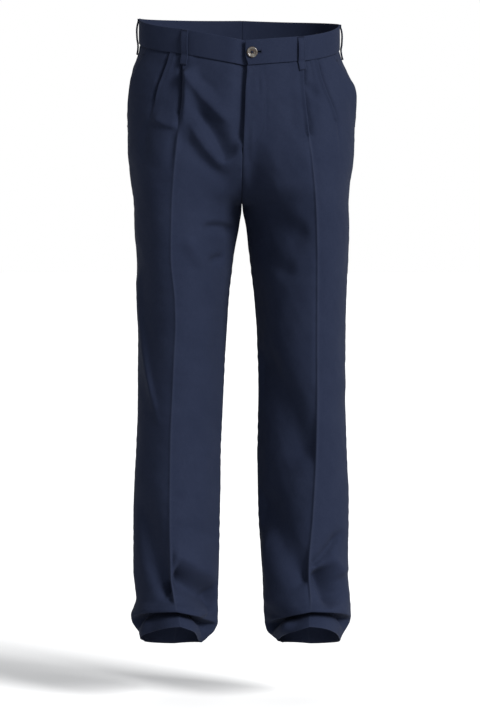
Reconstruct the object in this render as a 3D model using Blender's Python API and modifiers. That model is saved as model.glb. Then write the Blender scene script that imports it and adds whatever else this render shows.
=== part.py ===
"""Pleated chinos in the hollow form they keep when worn, as the pieces that a maker cuts and sews.

Units are metres, +Z is up, the front faces -Y and the wearer's left is +X. The origin is the middle of
the waist opening, halfway up the waistband at the side seams. The cloth is described by level lines,
each named by how far down the side seam it lies, and each level line is a chain of arcs between key
points: centre front or inseam, front crease, side seam, back crease, centre back or inseam.
"""

import math
from collections import namedtuple

import bmesh
import bpy
from mathutils import Matrix, Vector

# ---- driving dimensions -------------------------------------------------------------------------------
CLOTH = 0.0010  # wall of a panel
BAND_WALL = 0.0020  # two layers of cloth and an interlining
SEAM_GAP = 0.0003
LAYER_STEP = 0.0018  # from the middle of one cloth layer to the middle of the one under it

BAND_HEIGHT = 0.040
BAND_OFFSET = 0.0008  # the band stands this far out from the panels
WAIST_SEAM = BAND_HEIGHT / 2  # level of the seam under the waistband
BAND_UNDERLAP = 0.036
HEM = 1.000

FLY_END = 0.185
FLY_LAST_LAP = 0.175  # the lower front's edge draws back to the seam between here and the fly's end
FLY_RISE = 0.015  # and comes up flush with the upper front over this length below the fly's end
FLY_UNDERLAP = 0.014
FLY_TUCK_REACH = 0.030  # the lower front sinks under the upper one over this distance from its edge

CROTCH = 0.2755
RISE_TOP = 0.140  # below this level the rise starts to curve under the body
RISE_POWER = 2.2

POCKET_END = 0.150
POCKET_MOUTH_AT_WAIST = 0.036  # along the waist seam, from the side seam
POCKET_GAPE = {"left": 0.0045, "right": 0.0015}
FACING_HIDDEN = 0.018  # how far the facing runs under the front panel

PLEAT_REACH_IN = 0.026
PLEAT_REACH_OUT = 0.012
FOLD_RADIUS = LAYER_STEP / 2

LOOP_WIDTH = 0.012
LOOP_WALL = 0.0016
LOOP_BELOW_BAND = 0.018
LOOP_STAND_OFF = 0.0030

BUTTON_RADIUS = 0.0087
BUTTON_THICKNESS = 0.0030
BUTTON_HOLE_RADIUS = 0.0010
BUTTON_HOLE_CIRCLE = 0.0021
BUTTON_FROM_EDGE = 0.011
SHANK_RADIUS = 0.0011
SLOT_LENGTH = 0.016
SLOT_HEIGHT = 0.0036

# ---- the cloth's sections -----------------------------------------------------------------------------
# Heights of the key points above (+) or below (-) their level.
Lift = namedtuple("Lift", "down centre front side back seat")
WAIST_LIFTS = {
    "left": (
        Lift(0.020, -0.032, -0.0240, 0.0, 0.009, 0.013),
        Lift(0.080, -0.019, -0.0150, 0.0, 0.006, 0.009),
    ),
    "right": (
        Lift(0.020, -0.032, -0.0125, 0.010, 0.012, 0.013),
        Lift(0.080, -0.019, -0.0095, 0.006, 0.008, 0.009),
    ),
}
LIFTS = (
    Lift(0.150, -0.004, -0.003, 0.0, 0.000, 0.000),
    Lift(0.200, 0.0, 0.0, 0.0, 0.0, 0.0),
    Lift(0.890, 0.0, 0.0, 0.0, 0.0, 0.0),
    Lift(0.925, -0.0040, 0.0030, -0.0010, -0.0020, -0.0040),
    Lift(0.940, -0.0100, 0.0100, -0.0015, -0.0040, -0.0100),
    Lift(0.947, -0.0120, 0.0125, -0.0030, -0.0060, -0.0120),
    Lift(0.950, -0.0130, 0.0128, -0.0040, -0.0070, -0.0130),
    Lift(0.953, -0.0135, 0.0150, -0.0045, -0.0080, -0.0135),
    Lift(0.957, -0.0135, 0.0220, -0.0060, -0.0100, -0.0135),
    Lift(0.961, -0.0130, 0.0265, -0.0070, -0.0120, -0.0130),
    Lift(0.966, -0.0130, 0.0275, -0.0075, -0.0140, -0.0130),
    Lift(0.980, -0.0100, 0.0295, -0.0065, -0.0160, -0.0100),
    Lift(1.000, 0.0000, 0.0384, 0.0020, -0.0130, 0.0000),
)

# How far forward (-) or back (+) the key points lie.
Depth = namedtuple("Depth", "down centre front side back seat")
DEPTHS = (
    Depth(0.020, -0.107, -0.085, 0.000, 0.088, 0.106),
    Depth(0.060, -0.111, -0.092, 0.000, 0.098, 0.112),
    Depth(0.100, -0.115, -0.101, 0.002, 0.110, 0.121),
    Depth(0.150, -0.118, -0.109, 0.003, 0.124, 0.131),
    Depth(0.200, -0.118, -0.114, 0.003, 0.131, 0.132),
    Depth(0.250, -0.116, -0.114, 0.003, 0.127, 0.128),
    Depth(0.290, -0.114, -0.112, 0.003, 0.118, 0.122),
    Depth(0.358, -0.105, -0.105, 0.003, 0.106, 0.110),
    Depth(0.470, -0.094, -0.094, 0.003, 0.096, 0.096),
    Depth(0.581, -0.085, -0.085, 0.002, 0.086, 0.086),
    Depth(0.700, -0.079, -0.079, 0.003, 0.085, 0.085),
    Depth(0.820, -0.074, -0.074, 0.005, 0.082, 0.082),
    Depth(0.900, -0.073, -0.073, 0.006, 0.080, 0.080),
    Depth(0.925, -0.0770, -0.0770, 0.006, 0.0800, 0.0800),
    Depth(0.940, -0.0840, -0.0840, 0.006, 0.0820, 0.0820),
    Depth(0.947, -0.0870, -0.0870, 0.006, 0.0845, 0.0845),
    Depth(0.950, -0.0868, -0.0868, 0.006, 0.0855, 0.0855),
    Depth(0.953, -0.0845, -0.0845, 0.006, 0.0855, 0.0855),
    Depth(0.957, -0.0790, -0.0790, 0.006, 0.0845, 0.0845),
    Depth(0.961, -0.0745, -0.0745, 0.006, 0.0830, 0.0830),
    Depth(0.966, -0.0722, -0.0722, 0.006, 0.0820, 0.0820),
    Depth(0.980, -0.0790, -0.0790, 0.005, 0.0830, 0.0830),
    Depth(1.000, -0.0900, -0.0900, 0.005, 0.0850, 0.0850),
)

# Which way a level line heads as it passes a crease, and half the angle folded there, in degrees.
Turn = namedtuple("Turn", "down front front_fold back back_fold")
TURNS = (
    Turn(0.020, 27.0, 0.0, 22.0, 0.0),
    Turn(0.100, 20.0, 0.0, 15.0, 0.0),
    Turn(0.200, 8.0, 5.0, 6.0, 0.0),
    Turn(0.300, 0.0, 12.0, 0.0, 6.0),
    Turn(0.430, 0.0, 17.0, 0.0, 14.0),
    Turn(0.600, 0.0, 20.0, 0.0, 18.0),
    Turn(0.800, 0.0, 18.0, 0.0, 16.0),
    Turn(0.900, 0.0, 12.0, 0.0, 12.0),
    Turn(0.953, 0.0, 4.0, 0.0, 8.0),
    Turn(1.000, 0.0, 10.0, 0.0, 12.0),
)

# Distances from the middle plane, on the wearer's left and right.
Width = namedtuple("Width", "down outer inner crease pleat back_crease")
WIDTHS = {
    "left": (
        Width(0.020, 0.1590, 0.0050, 0.0985, 0.120, 0.088),
        Width(0.036, 0.1630, 0.0050, 0.0985, 0.123, 0.088),
        Width(0.056, 0.1720, 0.0050, 0.0988, 0.128, 0.089),
        Width(0.080, 0.1825, 0.0047, 0.1000, 0.135, 0.091),
        Width(0.100, 0.1850, 0.0043, 0.1017, 0.142, 0.093),
        Width(0.125, 0.1848, 0.0036, 0.1040, 0.149, 0.095),
        Width(0.155, 0.1850, 0.0026, 0.1070, 0.154, 0.097),
        Width(0.185, 0.1845, 0.0013, 0.1105, 0.156, 0.099),
        Width(0.215, 0.1820, 0.0005, 0.1140, 0.156, 0.099),
        Width(0.245, 0.1765, 0.0001, 0.1170, 0.154, 0.099),
        Width(0.2755, 0.1750, 0.0000, 0.1195, 0.152, 0.097),
        Width(0.3135, 0.1765, 0.0065, 0.1210, 0.152, 0.097),
        Width(0.358, 0.1750, 0.0115, 0.1220, 0.152, 0.097),
        Width(0.432, 0.1715, 0.0200, 0.1220, 0.150, 0.098),
        Width(0.5065, 0.1700, 0.0250, 0.1220, 0.149, 0.099),
        Width(0.581, 0.1700, 0.0265, 0.1225, 0.149, 0.099),
        Width(0.680, 0.1730, 0.0250, 0.1210, 0.150, 0.100),
        Width(0.779, 0.1765, 0.0265, 0.1160, 0.150, 0.102),
        Width(0.878, 0.1750, 0.0330, 0.1090, 0.147, 0.104),
        Width(0.925, 0.1790, 0.0350, 0.1120, 0.149, 0.106),
        Width(0.940, 0.1800, 0.0360, 0.1120, 0.149, 0.107),
        Width(0.950, 0.1805, 0.0370, 0.1120, 0.150, 0.108),
        Width(0.957, 0.1795, 0.0380, 0.1117, 0.150, 0.109),
        Width(0.966, 0.1755, 0.0400, 0.1112, 0.148, 0.110),
        Width(0.980, 0.1670, 0.0510, 0.1100, 0.142, 0.112),
        Width(1.000, 0.1620, 0.0660, 0.1095, 0.138, 0.114),
    ),
    "right": (
        Width(0.020, 0.1675, -0.0050, 0.0950, 0.116, 0.090),
        Width(0.036, 0.1700, -0.0050, 0.0950, 0.120, 0.090),
        Width(0.056, 0.1780, -0.0050, 0.0950, 0.127, 0.091),
        Width(0.080, 0.1840, -0.0047, 0.0957, 0.135, 0.093),
        Width(0.100, 0.1868, -0.0043, 0.0965, 0.140, 0.095),
        Width(0.125, 0.1880, -0.0036, 0.0995, 0.146, 0.097),
        Width(0.155, 0.1880, -0.0026, 0.1025, 0.151, 0.099),
        Width(0.185, 0.1880, -0.0013, 0.1055, 0.153, 0.100),
        Width(0.215, 0.1850, -0.0005, 0.1085, 0.153, 0.100),
        Width(0.245, 0.1815, -0.0001, 0.1110, 0.152, 0.100),
        Width(0.2755, 0.1780, 0.0000, 0.1130, 0.151, 0.098),
        Width(0.3135, 0.1770, 0.0050, 0.1140, 0.151, 0.097),
        Width(0.358, 0.1735, 0.0130, 0.1145, 0.150, 0.098),
        Width(0.432, 0.1715, 0.0215, 0.1083, 0.147, 0.098),
        Width(0.468, 0.1713, 0.0242, 0.1073, 0.147, 0.099),
        Width(0.5065, 0.1715, 0.0265, 0.1090, 0.147, 0.100),
        Width(0.581, 0.1715, 0.0300, 0.1127, 0.148, 0.101),
        Width(0.680, 0.1750, 0.0345, 0.1165, 0.150, 0.105),
        Width(0.779, 0.1795, 0.0360, 0.1175, 0.153, 0.108),
        Width(0.878, 0.1800, 0.0380, 0.1160, 0.153, 0.109),
        Width(0.925, 0.1755, 0.0395, 0.1100, 0.150, 0.109),
        Width(0.940, 0.1795, 0.0395, 0.1080, 0.150, 0.109),
        Width(0.950, 0.1840, 0.0395, 0.1070, 0.151, 0.110),
        Width(0.957, 0.1830, 0.0405, 0.1062, 0.151, 0.110),
        Width(0.966, 0.1780, 0.0440, 0.1053, 0.149, 0.111),
        Width(0.980, 0.1680, 0.0550, 0.1030, 0.142, 0.112),
        Width(1.000, 0.1620, 0.0665, 0.1000, 0.138, 0.114),
    ),
}

# How deep each pleat is folded under, below 0 once it has opened to a ridge that wide, and how high its
# top layer stands above its bottom one. The first pleat runs into the leg's crease.
Pleat = namedtuple("Pleat", "down depth step")
PLEATS = {
    ("left", "first"): (
        Pleat(0.020, 0.0090, 0.0036),
        Pleat(0.110, 0.0075, 0.0036),
        Pleat(0.147, 0.0045, 0.0036),
        Pleat(0.160, 0.0026, 0.0036),
        Pleat(0.175, -0.0060, 0.0030),
        Pleat(0.200, -0.0080, 0.0),
    ),
    ("left", "second"): (
        Pleat(0.020, 0.0080, 0.0036),
        Pleat(0.110, 0.0050, 0.0036),
        Pleat(0.134, 0.0026, 0.0036),
        Pleat(0.147, -0.0060, 0.0036),
        Pleat(0.175, -0.0080, 0.0020),
        Pleat(0.200, -0.0080, 0.0),
    ),
    ("right", "first"): (
        Pleat(0.020, 0.0090, 0.0036),
        Pleat(0.098, 0.0070, 0.0036),
        Pleat(0.122, 0.0026, 0.0036),
        Pleat(0.134, -0.0060, 0.0030),
        Pleat(0.175, -0.0080, 0.0),
    ),
    ("right", "second"): (
        Pleat(0.020, 0.0080, 0.0036),
        Pleat(0.082, 0.0060, 0.0036),
        Pleat(0.098, 0.0026, 0.0036),
        Pleat(0.110, -0.0060, 0.0030),
        Pleat(0.147, -0.0080, 0.0),
    ),
}

# The largest folds of the worn cloth, as soft troughs (-) and ridges (+) that run from one point through a
# second to a third. Points are distances from the middle plane, to the wearer's left, and heights.
Fold = namedtuple("Fold", "x0 z0 x1 z1 x2 z2 width height")
FOLDS = {
    "front": (
        Fold(-0.088, -0.075, -0.056, -0.098, -0.022, -0.137, 0.012, 0.0030),
        Fold(-0.076, -0.102, -0.040, -0.140, -0.023, -0.203, 0.014, -0.0055),
        Fold(-0.089, -0.128, -0.062, -0.160, -0.023, -0.213, 0.010, 0.0030),
        Fold(-0.085, -0.160, -0.074, -0.198, -0.010, -0.228, 0.014, -0.0060),
        Fold(0.019, -0.199, 0.066, -0.232, 0.111, -0.311, 0.020, -0.0060),
        Fold(0.042, -0.328, 0.066, -0.342, 0.094, -0.363, 0.015, 0.0030),
        Fold(0.042, -0.512, 0.074, -0.594, 0.108, -0.628, 0.018, -0.0040),
        Fold(0.073, -0.709, 0.088, -0.740, 0.102, -0.778, 0.014, 0.0030),
        Fold(0.034, -0.739, 0.068, -0.820, 0.105, -0.890, 0.018, -0.0060),
        Fold(-0.165, -0.736, -0.156, -0.820, -0.120, -0.904, 0.016, -0.0060),
        Fold(-0.106, -0.844, -0.080, -0.872, -0.048, -0.896, 0.015, -0.0060),
    ),
    "back": (
        Fold(-0.020, -0.262, -0.070, -0.300, -0.130, -0.322, 0.016, -0.0050),
        Fold(0.020, -0.258, 0.066, -0.302, 0.134, -0.330, 0.016, -0.0055),
        Fold(-0.028, -0.318, -0.076, -0.352, -0.124, -0.362, 0.016, -0.0040),
        Fold(0.030, -0.325, 0.080, -0.352, 0.128, -0.371, 0.016, -0.0035),
        Fold(-0.150, -0.520, -0.110, -0.560, -0.050, -0.575, 0.018, -0.0050),
        Fold(0.046, -0.530, 0.104, -0.565, 0.150, -0.572, 0.018, -0.0050),
        Fold(-0.158, -0.800, -0.120, -0.850, -0.060, -0.885, 0.018, -0.0050),
        Fold(0.050, -0.815, 0.110, -0.862, 0.156, -0.880, 0.018, -0.0050),
    ),
}
FOLD_SAMPLES = 8
FOLD_END = 0.3  # share of a fold's length over which it dies away
FOLD_FREE_EDGE = 0.022  # distance from a seam over which the folds flatten

# ---- levels at which the panels have points ---------------------------------------------------------
PLEATED = (0.020, 0.034, 0.050, 0.066, 0.082, 0.098, 0.110, 0.122, 0.134, 0.147, 0.160, 0.175)
RISE = (0.185, 0.200, 0.220, 0.240, 0.256, 0.268, CROTCH)
LEG = (0.295, 0.325, 0.365, 0.420, 0.490, 0.560, 0.625, 0.690, 0.745, 0.795, 0.845, 0.887)
BREAK = (0.925, 0.940, 0.947, 0.950, 0.953, 0.957, 0.961, 0.966, 0.980, HEM)
FRONT_LEVELS = PLEATED + RISE + LEG + BREAK
BACK_LEVELS = PLEATED[:3] + PLEATED[4:6] + PLEATED[7::2] + RISE + LEG + BREAK[:2] + BREAK[3::2]
FACING_LEVELS = PLEATED[:-2]
ARC_STEPS = 16  # points on each arc of a level line

# ---- level lines ----------------------------------------------------------------------------------------
Ring = namedtuple("Ring", "points normals arcs marks")


def smooth(rows, name, down):
    """A table column at any level, on cubics that never overshoot its rows."""
    keys = [row.down for row in rows]
    values = [getattr(row, name) for row in rows]
    if down <= keys[0]:
        return values[0]
    if down >= keys[-1]:
        return values[-1]
    slopes = [(values[i + 1] - values[i]) / (keys[i + 1] - keys[i]) for i in range(len(keys) - 1)]

    def tangent(i):
        before, after = slopes[max(i - 1, 0)], slopes[min(i, len(slopes) - 1)]
        return 0.0 if before * after <= 0 else 2 * before * after / (before + after)

    i = next(i for i in range(len(slopes)) if down <= keys[i + 1])
    step = keys[i + 1] - keys[i]
    t = (down - keys[i]) / step
    ease = t * t * (3 - 2 * t)
    bend = step * (t * (1 - t) ** 2 * tangent(i) - t * t * (1 - t) * tangent(i + 1))
    return values[i] + ease * (values[i + 1] - values[i]) + bend


def ramp(t):
    """0 below 0, 1 above 1, and smooth between."""
    t = min(max(t, 0.0), 1.0)
    return t * t * (3 - 2 * t)


def unit(degrees):
    return Vector((math.cos(math.radians(degrees)), math.sin(math.radians(degrees))))


def arc_between(start, start_heading, end, end_heading):
    """Points and headings on the near-circular cubic that leaves and arrives on the given headings."""
    turn = math.radians(abs(end_heading - start_heading))
    share = 1 / 3 if turn < 0.01 else (2 / 3) * math.tan(turn / 4) / math.sin(turn / 2)
    handle = share * (end - start).length
    a, d = start, end
    b = a + handle * unit(start_heading)
    c = d - handle * unit(end_heading)
    for i in range(ARC_STEPS + 1):
        t = i / ARC_STEPS
        s = 1 - t
        point = s**3 * a + 3 * s * s * t * b + 3 * s * t * t * c + t**3 * d
        along = s * s * (b - a) + 2 * s * t * (c - b) + t * t * (d - c)
        yield point, along.normalized()


def rise_progress(down):
    """0 where the rise runs straight down the body, 1 at the crotch point."""
    return min(max((down - RISE_TOP) / (CROTCH - RISE_TOP), 0.0), 1.0)


RINGS = {}


def ring(side, down):
    """The level line of one side's cloth, with x growing towards that side's hip."""
    if (side, down) not in RINGS:
        RINGS[side, down] = make_ring(side, down)
    return RINGS[side, down]


def make_ring(side, down):
    width = {name: smooth(WIDTHS[side], name, down) for name in Width._fields[1:]}
    depth = {name: smooth(DEPTHS, name, down) for name in Depth._fields[1:]}
    lift = {name: smooth(WAIST_LIFTS[side] + LIFTS, name, down) for name in Lift._fields[1:]}
    turn = {name: smooth(TURNS, name, down) for name in Turn._fields[1:]}
    progress = rise_progress(down)
    upright = math.sqrt(1 - progress**RISE_POWER)
    inward = 90 * progress**4
    clear = SEAM_GAP / 2 + CLOTH / 2 * math.sin(math.radians(inward))

    def rise_y(name):
        return depth["side"] + upright * (depth[name] - depth["side"])

    seat_x = width["inner"] if down > CROTCH else 0.0
    keys = (
        (Vector((width["inner"] + clear, rise_y("centre"))), -inward, -inward),
        (
            Vector((width["crease"], depth["front"])),
            turn["front"] - turn["front_fold"],
            turn["front"] + turn["front_fold"],
        ),
        (Vector((width["outer"], depth["side"])), 90, 90),
        (
            Vector((width["back_crease"], depth["back"])),
            180 - turn["back"] - turn["back_fold"],
            180 - turn["back"] + turn["back_fold"],
        ),
        (Vector((seat_x + clear, rise_y("seat"))), 180 + inward, 180 + inward),
    )
    names = ("centre", "front", "side", "back", "seat")
    points, normals, arcs, marks = [], [], [], {"centre": 0.0}
    for i in range(4):
        start, end = keys[i], keys[i + 1]
        stretch = list(arc_between(start[0], start[2], end[0], end[1]))
        lengths = [0.0]
        for (a, _), (b, _) in zip(stretch, stretch[1:]):
            lengths.append(lengths[-1] + (b - a).length)
        run = arcs[-1] if arcs else 0.0
        from_side = i in (1, 2)
        for (point, along), length in zip(stretch, lengths):
            share = length / lengths[-1]
            if from_side:
                share = (point.y - start[0].y) / (end[0].y - start[0].y)
            height = -down + (1 - share) * lift[names[i]] + share * lift[names[i + 1]]
            points.append(Vector((point.x, point.y, height)))
            normals.append(Vector((along.y, -along.x, 0.0)))
            arcs.append(run + length)
        marks[names[i + 1]] = arcs[-1]
        if names[i + 1] == "side":
            marks["pleat"] = arc_where(points, arcs, len(points) - ARC_STEPS - 1, width["pleat"])
    return Ring(points, normals, arcs, marks)


def arc_where(points, arcs, first, x):
    """The arc length past a given point at which a level line reaches x."""
    for i in range(first, len(points) - 1):
        if points[i + 1].x >= x:
            share = (x - points[i].x) / (points[i + 1].x - points[i].x)
            return arcs[i] + share * (arcs[i + 1] - arcs[i])
    return arcs[-1]


OTHER = {"left": "right", "right": "left"}
MIRROR = {"left": 1, "right": -1}


def on_ring(side, down, arc, out=0.0):
    """A point of the cloth, in world axes: arc along the level line from the middle, and out from it."""
    if arc < 0:
        return on_ring(OTHER[side], down, -arc, out)
    line = ring(side, down)
    past = arc - line.marks["seat"]
    if past > 0:
        return on_ring(OTHER[side], down, ring(OTHER[side], down).marks["seat"] - past, out)
    i = next((i for i in range(len(line.arcs) - 2) if arc <= line.arcs[i + 1]), len(line.arcs) - 2)
    span = line.arcs[i + 1] - line.arcs[i]
    share = (arc - line.arcs[i]) / span if span > 0 else 0.0
    point = line.points[i].lerp(line.points[i + 1], share)
    normal = line.normals[i].lerp(line.normals[i + 1], share).normalized()
    point = point + out * normal
    return Vector((MIRROR[side] * point.x, point.y, point.z))


# ---- columns of points across each panel ---------------------------------------------------------------
def pleat_at(side, name, down):
    rows = PLEATS[side, name]
    if down > rows[-1].down:
        return 0.0, 0.0
    return smooth(rows, "depth", down), smooth(rows, "step", down)


def fold_reach(depth):
    """How far inward from its edge a pleat's own points run."""
    return depth if depth > 0 else -depth / 2


def fold_columns(edge, depth, step):
    """The six points at which a pleat turns under at its edge, and turns out again behind it."""
    top = step / 2
    if step == 0:
        return [(edge, 0.0)] * 6
    if depth <= 0:
        return [(edge + depth * (0.5 - i / 5), top - step * i / 5) for i in range(6)]
    inner = edge - depth
    turned = FOLD_RADIUS
    return [
        (edge - turned, top),
        (edge, top - step / 4),
        (edge - turned, top - step / 2),
        (inner + turned, top - step / 2),
        (inner, top - step * 3 / 4),
        (inner + turned, top - step),
    ]


def pleated_offset(line, side, down, arc):
    """How far the cloth beside the pleats stands out from its level line."""
    out = 0.0
    gap = line.marks["pleat"] - line.marks["front"]
    for name, mark in (("first", "front"), ("second", "pleat")):
        depth, step = pleat_at(side, name, down)
        edge = line.marks[mark]
        before = fold_reach(depth) + 0.002
        reach_in = PLEAT_REACH_IN if name == "first" else max(min(PLEAT_REACH_IN, 0.5 * gap), before + 0.002)
        reach_out = min(PLEAT_REACH_OUT, 0.4 * gap)
        if arc < edge:
            out += step / 2 * ramp((arc - edge + reach_in) / (reach_in - before))
        else:
            out -= step / 2 * ramp(1 - (arc - edge) / reach_out)
    return out


def pocket_mouth(down):
    """How far the front panel's edge lies in front of the side seam."""
    return POCKET_MOUTH_AT_WAIST * max(0.0, 1 - (down - WAIST_SEAM) / (POCKET_END - WAIST_SEAM))


def pocket_gape(side, down, arc, edge):
    """The mouth stands open a little, most at the middle of its length."""
    along = (down - WAIST_SEAM) / (POCKET_END - WAIST_SEAM)
    if along >= 1:
        return 0.0
    return POCKET_GAPE[side] * math.sin(math.pi * along) * ramp(1 - (edge - arc) / 0.035)


def inseam_gap(down):
    """Half the gap along the inseam, wider where the four panels meet at the crotch."""
    if down < CROTCH:
        return 0.0
    return 3 * SEAM_GAP if down == CROTCH else SEAM_GAP / 2


def front_columns(side, down):
    """Where the points of a front panel lie on one level line: (arc, out)."""
    line = ring(side, down)
    first, second = line.marks["front"], line.marks["pleat"]
    end = line.marks["side"] - SEAM_GAP / 2 - pocket_mouth(down)
    first_depth, first_step = pleat_at(side, "first", down)
    second_depth, second_step = pleat_at(side, "second", down)
    gap = second - first
    reach = PLEAT_REACH_IN
    second_reach = min(reach, 0.5 * gap)
    sunk = LAYER_STEP * ramp((FLY_END + FLY_RISE - down) / FLY_RISE) if side == "right" else 0.0
    underlap = FLY_UNDERLAP if sunk and down <= FLY_LAST_LAP else 0.0
    start = inseam_gap(down)
    plain = [start, 0.010 if sunk else start, FLY_TUCK_REACH]
    plain += [FLY_TUCK_REACH + share * (first - reach - FLY_TUCK_REACH) for share in (0.25, 0.5, 0.75, 1.0)]
    plain += [first - fold_reach(first_depth) - 0.003 if first_step else first]
    if second_step:
        between = [first + 0.2 * gap, first + 0.4 * gap, second - second_reach]
        between += [second - fold_reach(second_depth) - 0.0025]
        shares = (0.12, 0.32, 0.55, 0.78, 1.0)
    else:
        between = [first + gap / 3, first + gap * 2 / 3, first + gap * 2 / 3, second]
        shares = (0.0, 0.25, 0.5, 0.75, 1.0)
    after = [second + share * (end - second) for share in shares]

    def beside(arc):
        out = pleated_offset(line, side, down, arc) + pocket_gape(side, down, arc, end)
        return arc, out - sunk * ramp((FLY_TUCK_REACH - arc) / (FLY_TUCK_REACH - 0.010))

    columns = [(start - underlap, -sunk)]
    columns += [beside(arc) for arc in plain]
    columns += fold_columns(first, first_depth, first_step)
    columns += [beside(arc) for arc in between]
    columns += fold_columns(second, second_depth, second_step)
    columns += [beside(arc) for arc in after]
    return columns


def back_columns(side, down):
    line = ring(side, down)
    start = line.marks["side"] + SEAM_GAP / 2
    middle = line.marks["back"]
    end = line.marks["seat"] - inseam_gap(down)
    arcs = [start + share * (middle - start) for share in (0, 0.25, 0.5, 0.75)]
    arcs += [middle + share * (end - middle) for share in (0, 0.25, 0.5, 0.75, 1)]
    return [(arc, 0.0) for arc in arcs]


def facing_columns(side, down):
    """The facing fills the pocket's mouth, one layer under the front panel."""
    end = ring(side, down).marks["side"] - SEAM_GAP / 2
    start = end - pocket_mouth(down) - FACING_HIDDEN
    return [(start + share * (end - start), -LAYER_STEP) for share in (0, 0.5, 1)]


# ---- making the objects -----------------------------------------------------------------------------------
def collection(name):
    made = bpy.data.collections.new(name)
    bpy.context.scene.collection.children.link(made)
    return made


def material(name, colour, roughness):
    made = bpy.data.materials.new(name)
    made.use_nodes = True
    shader = made.node_tree.nodes["Principled BSDF"]
    shader.inputs["Base Color"].default_value = (*colour, 1.0)
    shader.inputs["Roughness"].default_value = roughness
    shader.inputs["Metallic"].default_value = 0.0
    made.diffuse_color = (*colour, 1.0)
    return made


def add_object(name, mesh, finish, where):
    made = bpy.data.objects.new(name, mesh)
    made.data.materials.append(finish)
    where.objects.link(made)
    return made


def sheet(name, rows, wall, flip, finish, where):
    """A wall of cloth through rows of points, as an open surface with a Solidify modifier."""
    mesh = bpy.data.meshes.new(name)
    shape = bmesh.new()
    grid = [[shape.verts.new(point) for point in row] for row in rows]
    for upper, lower in zip(grid, grid[1:]):
        for i in range(len(upper) - 1):
            corners = (upper[i], lower[i], lower[i + 1], upper[i + 1])
            shape.faces.new(corners[::-1] if flip else corners)
    bmesh.ops.remove_doubles(shape, verts=shape.verts, dist=1e-6)
    shape.to_mesh(mesh)
    shape.free()
    made = add_object(name, mesh, finish, where)
    thicken(made, wall)
    return made


def thicken(made, wall):
    solid = made.modifiers.new("Cloth", "SOLIDIFY")
    solid.thickness = wall
    solid.offset = 0.0
    solid.use_even_offset = True


def fold_height(face, x, z):
    """How far the folds move the cloth out at one place on the front or back."""
    total = 0.0
    for fold in FOLDS[face]:
        away, along = fold_distance(fold, x, z)
        if away < 3 * fold.width:
            end = ramp(min(along, 1 - along) / FOLD_END)
            total += fold.height * end * math.exp(-((away / fold.width) ** 2))
    return total


def fold_distance(fold, x, z):
    """Distance from a fold's line, and the share of its length at the nearest place."""
    nearest = (math.inf, 0.0)
    start = (fold.x0, fold.z0)
    bend_x = 2 * fold.x1 - (fold.x0 + fold.x2) / 2
    bend_z = 2 * fold.z1 - (fold.z0 + fold.z2) / 2
    for i in range(1, FOLD_SAMPLES + 1):
        t = i / FOLD_SAMPLES
        end = tuple(
            (1 - t) ** 2 * a + 2 * t * (1 - t) * b + t * t * c
            for a, b, c in ((fold.x0, bend_x, fold.x2), (fold.z0, bend_z, fold.z2))
        )
        run_x, run_z = end[0] - start[0], end[1] - start[1]
        share = ((x - start[0]) * run_x + (z - start[1]) * run_z) / (run_x**2 + run_z**2)
        share = min(max(share, 0.0), 1.0)
        away = math.hypot(x - start[0] - share * run_x, z - start[1] - share * run_z)
        nearest = min(nearest, (away, (i - 1 + share) / FOLD_SAMPLES))
        start = end
    return nearest


def fold_allowance(side, down, arc):
    """0 at a side seam, inseam or curved rise, 1 away from them."""
    marks = ring(side, down).marks
    allowed = ramp(abs(marks["side"] - arc) / FOLD_FREE_EDGE)
    if down > RISE_TOP:
        allowed *= ramp(min(abs(arc), abs(marks["seat"] - arc)) / FOLD_FREE_EDGE)
    return allowed


def folded_point(side, face, down, arc, out):
    flat = on_ring(side, down, arc, out)
    height = fold_height(face, flat.x, flat.z) * fold_allowance(side, down, arc)
    return on_ring(side, down, arc, out + height)


def panel(name, face, side, levels, columns, finish, where):
    rows = [[folded_point(side, face, down, *column) for column in columns(side, down)] for down in levels]
    return sheet(name, rows, CLOTH, side == "right", finish, where)


def band_point(side, arc, height, out=0.0):
    """A point of the waistband, a height above the seam under it."""
    point = on_ring(side, WAIST_SEAM, arc, BAND_OFFSET + out)
    return point + Vector((0, 0, SEAM_GAP + height))


def waistband(side, finish, where):
    """Half the waistband. The right half runs on under the left one, where the button is sewn to it."""
    line = ring(side, WAIST_SEAM)
    stops = [0.0, 0.012]
    stops += [line.marks["front"] * share for share in (0.35, 0.65, 1.0)]
    stops += [blend(line.marks["front"], line.marks["side"], share) for share in (0.25, 0.5, 0.75, 1.0)]
    stops += [blend(line.marks["side"], line.marks["back"], share) for share in (0.25, 0.5, 0.75, 1.0)]
    stops += [blend(line.marks["back"], line.marks["seat"], share) for share in (0.35, 0.7, 1.0)]
    outs = [0.0] * len(stops)
    if side == "right":
        stops = [-BAND_UNDERLAP, -BAND_UNDERLAP / 2] + stops[:1] + [0.008, 0.026] + stops[2:]
        sunk = -(BAND_WALL + 2 * SEAM_GAP)
        outs = [sunk, sunk, sunk, sunk] + [0.0] * (len(stops) - 4)
    rows = [
        [band_point(side, arc, height, out) for arc, out in zip(stops, outs)] for height in (BAND_HEIGHT, 0.0)
    ]
    return sheet("waistband_" + side, rows, BAND_WALL, side == "right", finish, where)


def blend(start, end, share):
    return start + share * (end - start)


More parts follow.
